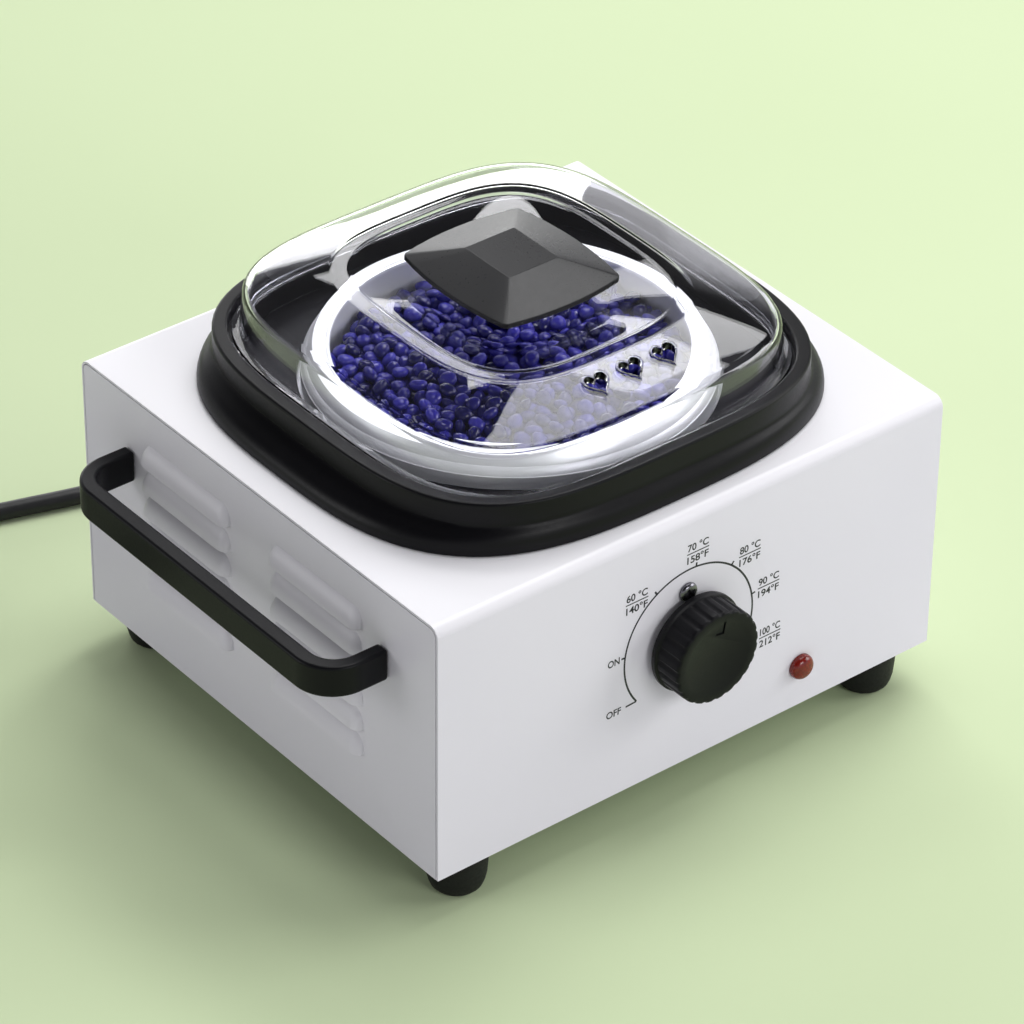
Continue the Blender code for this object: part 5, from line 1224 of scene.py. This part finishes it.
# Lid: clear, with a lip, a tall skirt, a shoulder, a raised plateau and a dished middle
lid = {
    "bottom": 0.1286,
    "lip": (0.0895, 0.0900, 3.8),
    "lipHeight": 0.0025,
    "skirt": (0.0868, 0.0884, 3.8),
    "shoulder": (0.0838, 0.0878, 3.9),
    "shoulderHeight": 0.0200,
    "shoulderEdge": 0.0022,
    "plateau": (0.0562, 0.0615, 3.5),
    "plateauHeight": 0.0287,
    "plateauWidth": 0.0058,
    "slopeBow": 0.0004,
    "dish": (0.0340, 0.0370, 2.9),
    "dishHeight": 0.0243,
    "boss": (0.0125, 0.0221),
    "bore": 0.0018,
    "wall": 0.0024,
    "vents": (-0.016, 0, 0.016),
    "ventForward": 0.0704,
    "ventWidth": 0.0098,
    "ventRim": 0.0009,
}


def slopeHeight(reach):
    # the front slope's height at this distance from the middle
    crest, end = lid["plateau"][1], lid["shoulder"][1] - lid["shoulderEdge"]
    fall = (reach - crest) / (end - crest)
    return lid["bottom"] + lid["plateauHeight"] - (lid["plateauHeight"] - lid["shoulderHeight"]) * fall


def heart(x, width, lift, count=56):
    # a heart's outline on the front slope, its tip to the front
    ring = []
    for k in range(count):
        t = math.tau * k / count
        across = math.sin(t) ** 3
        along = (13 * math.cos(t) - 5 * math.cos(2 * t) - 2 * math.cos(3 * t) - math.cos(4 * t)) / 16
        y = -lid["ventForward"] + along * width / 2
        ring.append(Vector((x + across * width / 2, y, slopeHeight(-y) + lift)))
    return ring


def drawLid():
    # the outer skin is drawn first and then gets its wall inwards, so that both faces run parallel
    low, wall, edge, width, rimWidth = (
        lid[k] for k in ("bottom", "wall", "shoulderEdge", "ventWidth", "ventRim")
    )
    shoulder, plateau, dish = (low + lid[k] for k in ("shoulderHeight", "plateauHeight", "dishHeight"))
    boss, bossHeight = lid["boss"]
    half = mixed(lid["shoulder"], lid["plateau"], 0.5)

    def ringsOf(*rows):
        return [squarish(outline, level, inset, 160) for outline, level, inset in rows]

    rings = ringsOf(
        (lid["skirt"], low, 0),
        (lid["shoulder"], shoulder - edge, 0),
        (lid["shoulder"], shoulder, edge),
        (half, (shoulder + plateau) / 2 + lid["slopeBow"], edge / 2),
        (lid["plateau"], plateau, 0),
        (lid["plateau"], plateau, lid["plateauWidth"]),
        (lid["dish"], dish, 0),
        ((boss, boss, 2), low + bossHeight, 0),
        ((lid["bore"], lid["bore"], 2), low + bossHeight, 0),
    )
    eases = {1: 0.0020, 2: 0.0020, 3: 0.0100, 4: 0.0012, 5: 0.0012, 6: 0.004, 7: 0.002}
    shell = drawRings("lidShell", rings, eases, "open", 4)
    thicken(shell, wall)
    lip, skirt, top = lid["lip"], lid["skirt"], low + lid["lipHeight"]
    rings = ringsOf((lip, low, 0), (lip, top, 0), (skirt, top, wall / 2), (skirt, low, wall / 2))
    cutAway(shell, drawRings("lidLip", rings, {0: 0.0005, 1: 0.0006}, "bridge"), "UNION")
    for x in lid["vents"]:
        rims = [heart(x, width + 2 * rimWidth, lift) for lift in (-wall / 2, rimWidth)]
        cutAway(shell, drawRings("ventRim", rims, {1: 0.0004}), "UNION")
        hole = [heart(x, width, lift) for lift in (-wall - 0.002, 0.003)]
        cutAway(shell, drawRings("ventHole", hole))
    smoothen(shell, 32)
    return settle(shell, "lid", "clear_lid", ["lid_shell"])


drawLid()
print("lid is moulded")

# Lid knob: a bowed square with four facets on a round neck
knob = {
    "bore": (0.0018, 0.1579),
    "bottom": 0.1510,
    "neck": 0.0080,
    "neckTop": 0.1595,
    "under": (0.0265, 0.0297),
    "half": (0.0305, 0.0340),
    "rim": (0.1613, 0.1633),
    "facet": (0.0116, 0.0132, 0.1689),
    "bow": 0.0030,
    "corner": 0.0014,
    "facetCorner": 0.0005,
    "sideSteps": 8,
}


def bowedSquare(half, bow, corner, level):
    ring = []
    steps = knob["sideSteps"]
    for quarter in range(4):
        along, out = half if quarter % 2 == 0 else half[::-1]
        turned = Matrix.Rotation(quarter * math.pi / 2, 3, "Z")
        for k in range(steps + 1):
            share = 2 * k / steps - 1
            ring.append(turned @ Vector(((along - bow - corner) * share, bow * share**2 - out, level)))
    return ring


def drawLidKnob():
    count = 4 * (knob["sideSteps"] + 1)
    start = math.atan2(-knob["half"][1], -knob["half"][0])

    def roundRing(radius, level):
        turns = [start + math.tau * k / count for k in range(count)]
        return [Vector((radius * math.cos(turn), radius * math.sin(turn), level)) for turn in turns]

    low, high = knob["rim"]
    bow, corner, bottom, neck, neckTop = (knob[k] for k in "bow corner bottom neck neckTop".split())
    bore, deep = knob["bore"]
    outline = ((bore, deep), (bore, bottom), (neck, bottom), (neck, neckTop - 0.0008))
    rings = [roundRing(*place) for place in outline]
    rings += [bowedSquare(knob["under"], bow, corner, neckTop)]
    rings += [bowedSquare(knob["half"], bow, corner, level) for level in (low, high)]
    rings += [bowedSquare(knob["facet"][:2], 0, knob["facetCorner"], knob["facet"][2])]
    piece = drawRings("lidKnob", rings)
    easeEdges(piece, 0.0003, 12, 2)
    smoothen(piece, 16)
    weighNormals(piece)
    return settle(piece, "lid", "grey_knob", ["lid_knob"])


drawLidKnob()
print("lid knob is moulded")

# Screws: pan heads with a crossed recess
screw = {
    # stem, reach, head, height
    "panel": (0.0015, 0.0038, 0.0040, 0.0021),
    "foot": (0.0019, 0.0135, 0.0038, 0.0024),
    "knob": (0.0015, 0.0088, 0.0028, 0.0018),
    "pitch": 0.0006,
    "knobSeat": 0.1480,
    "turn": 0.5,
}


def drawScrew(name, stem, reach, head, height):
    # its seat is at zero, head upwards and stem down
    tip = stem * 0.5 - reach
    outline = [(stem * 0.7, -reach), (stem, tip)]
    count = max(2, int(reach / screw["pitch"]) - 2)
    for k in range(count):
        outline.append((stem * (1 if k % 2 else 0.86), tip - tip * (k + 0.5) / count))
    outline.append((stem, -0.00002))
    for wide, high in ((0.96, 0), (1, 0.18), (0.97, 0.45), (0.86, 0.74), (0.64, 0.92), (0.30, 1)):
        outline.append((head * wide, height * high))
    piece = drawRings(name, [circle(r, z, 40) for r, z in outline], smooth=50)
    long, wide = head * 1.15, head * 0.24
    bars = [addCube((0, 0, height), (*size, height * 0.9)) for size in ((long, wide), (wide, long))]
    cutAway(bars[0], bars[1], "UNION")
    cutAway(piece, bars[0])
    smoothen(piece, 40)
    return piece


def placeScrews():
    for side, word in ((1, "upper"), (-1, "lower")):
        piece = drawScrew("panelScrew_" + word, *screw["panel"])
        stand = facing(forward, dialSeat + screwLean * side + forward * touch)
        stand = stand @ Matrix.Rotation(screw["turn"], 4, "Z")
        # the screws beside the dial take the darker copy of the plated steel, which is painted shade
        settle(piece, "casing", "plated_steel", ["thermostat_screw_" + word], stand, "shaded_plated_steel")
    level = foot["recess"][1] - foot["height"] - touch
    for word, (x, y) in footCorners.items():
        piece = drawScrew("footScrew_" + word, *screw["foot"])
        stand = facing(-upward, (x * foot["at"][0], y * foot["at"][1], level))
        settle(piece, "casing", "plated_steel", ["foot_screw_" + word], stand)
    piece = drawScrew("knobScrew", *screw["knob"])
    settle(piece, "lid", "plated_steel", ["lid_knob_screw"], facing(-upward, (0, 0, screw["knobSeat"])))


placeScrews()
print("screws are in")

# Dial: a fluted knob with a small angled notch in its face
dial = {
    "skirt": (0.0205, 0.0029, 0.0053),
    "face": 0.0196,
    "front": 0.0170,
    "flutes": 24,
    "fluteDepth": 0.0007,
    "rounding": ((0, 1, 1.5), (0.12, 0.9, 0.9), (0.40, 0.7, 0.35), (0.9, 0.4, 0.07), (1.6, 0, 0)),
    "edge": 0.0010,
    "bore": 0.0033,
    "boreEnd": 0.0127,
    "notchAngle": 80.0,
    "notch": (0.0102, 0.0154, 0.0011, 0.0028, 0.0008),  # inner end, outer end, width, foot, depth
}


def flutedRing(radius, depth, level):
    # shallow rounded grooves, eight points to each
    count = dial["flutes"] * 8
    ring = []
    for k in range(count):
        turn = math.tau * (k + 0.5) / count
        phase = (turn * dial["flutes"] / math.tau) % 1 - 5 / 6
        phase -= round(phase)
        dip = depth * max(0, 1 - (phase / 0.24) ** 2)
        ring.append(Vector(((radius - dip) * math.cos(turn), (radius - dip) * math.sin(turn), level)))
    return ring


def drawDial():
    radius, low, high = dial["skirt"]
    face, front, edge, depth = dial["face"], dial["front"], dial["edge"], dial["fluteDepth"]
    outline = [
        (dial["bore"], 0, dial["boreEnd"]),
        (dial["bore"], 0, low),
        (radius, 0, low),
        (radius, 0, high - 0.0004),
        (radius - 0.0004, 0, high),
        (face, depth * 0.3, high + 0.0003),
        (face, depth, high + 0.0014),
    ]
    for inwards, share, down in dial["rounding"]:
        outline.append((face - edge * inwards, depth * share, front - edge * down))
    outline += [(face - 0.0045, 0, front), (face - 0.0049, 0, front - 0.0002)]
    piece = drawRings("dialKnob", [flutedRing(*row) for row in outline], {2: 0.0003}, smooth=35)
    inner, outer, width, footLength, depth = dial["notch"]
    turned = Matrix.Rotation(math.radians(dial["notchAngle"]), 3, "Z")
    half, end = width / 2, inner + width
    corners = [(inner, -half), (outer, -half), (outer, half), (end, half)]
    corners += [(end, half + footLength), (inner, half + footLength)]
    levels = (front - depth, front + 0.001)
    notch = [[turned @ Vector((*corner, level)) for corner in corners] for level in levels]
    cutAway(piece, drawRings("notch", notch))
    smoothen(piece, 35)
    return settle(piece, "dial", "black_knob", ["dial_knob"], onFront(*dialAt))


drawDial()
print("dial is moulded")

# Pilot lamp: a red dome on a short stem
lamp = {"radius": 0.00525, "height": 0.0042, "stem": (0.0035, 0.006)}


def drawLamp():
    radius, height = lamp["radius"], lamp["height"]
    stem, length = lamp["stem"]
    outline = [(stem, -length), (stem, 0), (radius, 0), (radius, height * 0.30)]
    for k in range(1, 11):
        angle = math.pi / 2 * k / 11
        outline.append((radius * 0.97 * math.cos(angle), height * (0.34 + 0.66 * math.sin(angle))))
    piece = drawRings("lampLens", [circle(r, z, 64) for r, z in outline], {3: 0.0003})
    stand = facing(forward, (lampAt[0], -casing["halfDepth"] - touch, lampAt[1]))
    return settle(piece, "casing", "red_lens", ["pilot_lamp_lens"], stand)


drawLamp()
print("lamp is in")

# Dial print: a scale with numbers, ON and OFF, printed on the front panel
scale = {
    "radius": 0.0308,
    "line": 0.0008,
    "from": 217.0,
    "to": -28.8,
    "tick": 0.0018,
    "onMark": 172.6,
    "offLine": ((-0.0276, 0.0393, 0), (-0.0327, 0.0390, 0)),
    "marks": (121.5, 85.4, 50.4, 10.9, -28.8),
    "texts": (
        # two rows, then where their middle stands, in millimetres
        ("60 °C", "140°F", -28.55, 85.3),
        ("70 °C", "158°F", 0.05, 95.5),
        ("80 °C", "176°F", 25.55, 83.3),
        ("90 °C", "194°F", 35.55, 64.6),
        ("100 °C", "212°F", 37.3, 40.8),
    ),
    "textSize": (0.0106, 0.0034),
    "words": (("ON", -38.9, 62.0, 0.0056, 0.0032), ("OFF", -38.4, 38.7, 0.0070, 0.0032)),
    "bar": 0.0005,
    "rowGap": 0.0027,
    "bold": 0.0001,
    "proud": 0.00003,
}


def addText(words, x, z, width, height):
    # flat letters in the panel's plane, made a mesh and fitted to their size before they are placed
    quiet()
    bpy.ops.object.text_add()
    text = bpy.context.object
    text.data.body = words
    text.data.size = height * 1.4
    text.data.offset = scale["bold"]
    bpy.ops.object.convert(target="MESH")
    text = bpy.context.object
    spots = [vert.co for vert in text.data.vertices]
    left, right = min(p.x for p in spots), max(p.x for p in spots)
    low, high = min(p.y for p in spots), max(p.y for p in spots)
    for p in spots:
        p.x = x + (p.x - (left + right) / 2) * width / (right - left)
        p.y = z + (p.y - (low + high) / 2) * height / (high - low)
    return text


def addStrip(points, width):
    # a thin line through points in the panel's plane, drawn from a plane by extrusion
    left, right = [], []
    for k, point in enumerate(points):
        before, after = points[max(0, k - 1)], points[min(len(points) - 1, k + 1)]
        run = (after - before).normalized()
        side = Vector((-run.y, run.x, 0)) * width / 2
        left.append(point + side)
        right.append(point - side)
    quiet()
    bpy.ops.mesh.primitive_grid_add(x_subdivisions=1, y_subdivisions=len(points) - 1, size=1)
    strip = bpy.context.object
    for vert in strip.data.vertices:
        vert.co = (left if vert.index % 2 == 0 else right)[vert.index // 2]
    return strip


def drawScale():
    middle = Vector((*dialAt, 0))
    radius, tick, line, gap = (scale[k] for k in ("radius", "tick", "line", "rowGap"))

    def at(angle, reach):
        angle = math.radians(angle)
        return middle + Vector((math.cos(angle), math.sin(angle), 0)) * reach

    steps = 90
    sweep = scale["to"] - scale["from"]
    parts = [addStrip([at(scale["from"] + sweep * k / steps, radius) for k in range(steps + 1)], line)]
    for angle in [*scale["marks"], scale["onMark"]]:
        parts.append(addStrip([at(angle, radius), at(angle, radius + tick)], line))
    parts.append(addStrip([Vector(end) for end in scale["offLine"]], line))
    width, height = scale["textSize"]
    for top, under, x, z in scale["texts"]:
        x, z = x / 1000, z / 1000
        parts.append(addStrip([Vector((x + side * width / 2, z, 0)) for side in (-1, 1)], scale["bar"]))
        parts.append(addText(top, x, z + gap, width * 0.94, height))
        parts.append(addText(under, x, z - gap, width * 0.96, height))
    for word, x, z, width, height in scale["words"]:
        parts.append(addText(word, x / 1000, z / 1000, width, height))
    sheet = joinAll(parts, "dialScale")
    pick(sheet)
    bpy.ops.object.mode_set(mode="EDIT")
    turnOutwards()
    return settle(sheet, "casing", "dark_moulding", stand=onFront(0, 0, scale["proud"]), finish="ink")


drawScale()
print("scale is printed")

# What stays as the CAD has it, inside and under the casing, in its own finish
inside = {
    "bare_steel": ["base_plate", "gland_nut", "pilot_lamp_clip", "thermostat_shaft"]
    + ["chamber_screw_%d" % k for k in (1, 2, 3, 4)]
    + ["handle_screw_front", "handle_screw_rear"],
    "heater_mica": ["heating_band"],
    "felt": ["insulation_jacket"],
    "dark_moulding": ["thermal_cutout"],
    "thermostat_case": ["thermostat_body"],
    "copper_tube": ["capillary_tube", "thermostat_bulb"],
    "lamp_body": ["pilot_lamp_body"],
    "block_ceramic": ["terminal_block"],
    "brown_wire": ["live_wire"],
    "blue_wire": ["neutral_wire"],
    "green_wire": ["earth_wire"],
    "white_wire": ["heater_feed_wire", "heater_return_wire"],
    "red_wire": ["lamp_wire"],
}
for slotName, names in inside.items():
    for name in names:
        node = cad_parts[name]
        node.data.materials.clear()
        node.data.materials.append(finishes[slotName])
print("inner pieces are finished")

# Room: a plain pale floor, soft light from above and the right, and panels behind that the lid mirrors
room = {
    "floor": ("CCDBB4", "C7D6AE"),
    "bounce": "D6D6D8",
    "sky": "F3F3F7",
    "skyDiffuse": 0.28,
    "horizon": 1.0,
    "zenith": 0.08,
    "fadeFrom": (0.12, 0.42),
    "aim": (0.013, 0.008, 0.10),
    "lamps": (
        # name, place, size, watts
        ("softbox", (0.55, 0.10, 1.80), (0.93, 1.25), 14.2),
        ("right", (1.7, -0.9, 0.9), (1.2, 0.9), 18),
        ("wing", (1.47, 0.55, 1.80), (0.60, 0.90), 6.5),
        ("front", (0.1, -2.0, 1.0), (0.9, 0.6), 10.5),
        ("left", (-1.0, 0.50, 0.45), (0.5, 0.4), 1.6),
        ("rear", (1.12, 2.36, 0.55), (2.1, 0.95), 20),
        ("window", (0.515, 1.052, 1.06), (0.52, 0.34), 1.8),
        ("screen", (0.53, 0.64, 1.39), (0.60, 0.30), 3.4),
    ),
}


def seenRay(start):
    # one for what the camera sees itself, in a mirror or through something clear
    kinds = ("Camera", "Glossy", "Transmission")
    direct, mirrored, through = (start.node("LightPath", output="Is %s Ray" % kind) for kind in kinds)
    return start.maths("ADD", direct + mirrored, through, clamp=True), direct


def layFloor():
    quiet()
    bpy.ops.mesh.primitive_plane_add(size=12, location=(0, 0, 0))
    floor = bpy.context.object
    floor.name = floor.data.name = "floor"

    def paint(start):
        # pale where it is seen, neutral in the light that it throws back
        seen = seenRay(start)[0]
        light, dark = room["floor"]
        shade = mixColours(start, grain(start, 3, 2), tint(light), tint(dark))
        colour = mixColours(start, seen, tint(room["bounce"]), shade)
        return {"Base Color": colour, "Roughness": 0.9, "Specular IOR Level": 0.1}

    floor.data.materials.append(newFinish("floorPaint", paint))


def lightRoom():
    world = bpy.data.worlds.new("room")
    bpy.context.scene.world = world
    world.use_nodes = True
    start = Wire(world.node_tree)
    background = world.node_tree.nodes["Background"]
    background.inputs["Color"].default_value = tint(room["sky"])
    direction = start.node("TexCoord", output="Generated")
    height = start.node("SeparateXYZ", values={0: direction}, output=2)
    fall = ramp(start, height, *room["fadeFrom"], room["horizon"], room["zenith"])
    seen, direct = seenRay(start)
    mirrored = seen - direct
    strength = direct + mirrored * fall + (1 - seen) * room["skyDiffuse"]
    world.node_tree.links.new(strength.socket, background.inputs["Strength"])
    for name, place, size, watts in room["lamps"]:
        bpy.ops.object.light_add(type="AREA", location=place)
        light = bpy.context.object
        light.name = light.data.name = name
        light.data.shape = "RECTANGLE"
        light.data.size, light.data.size_y = size
        light.data.energy = watts
        light.rotation_euler = (Vector(room["aim"]) - Vector(place)).to_track_quat("-Z", "Y").to_euler()


layFloor()
lightRoom()
print("room is lit")
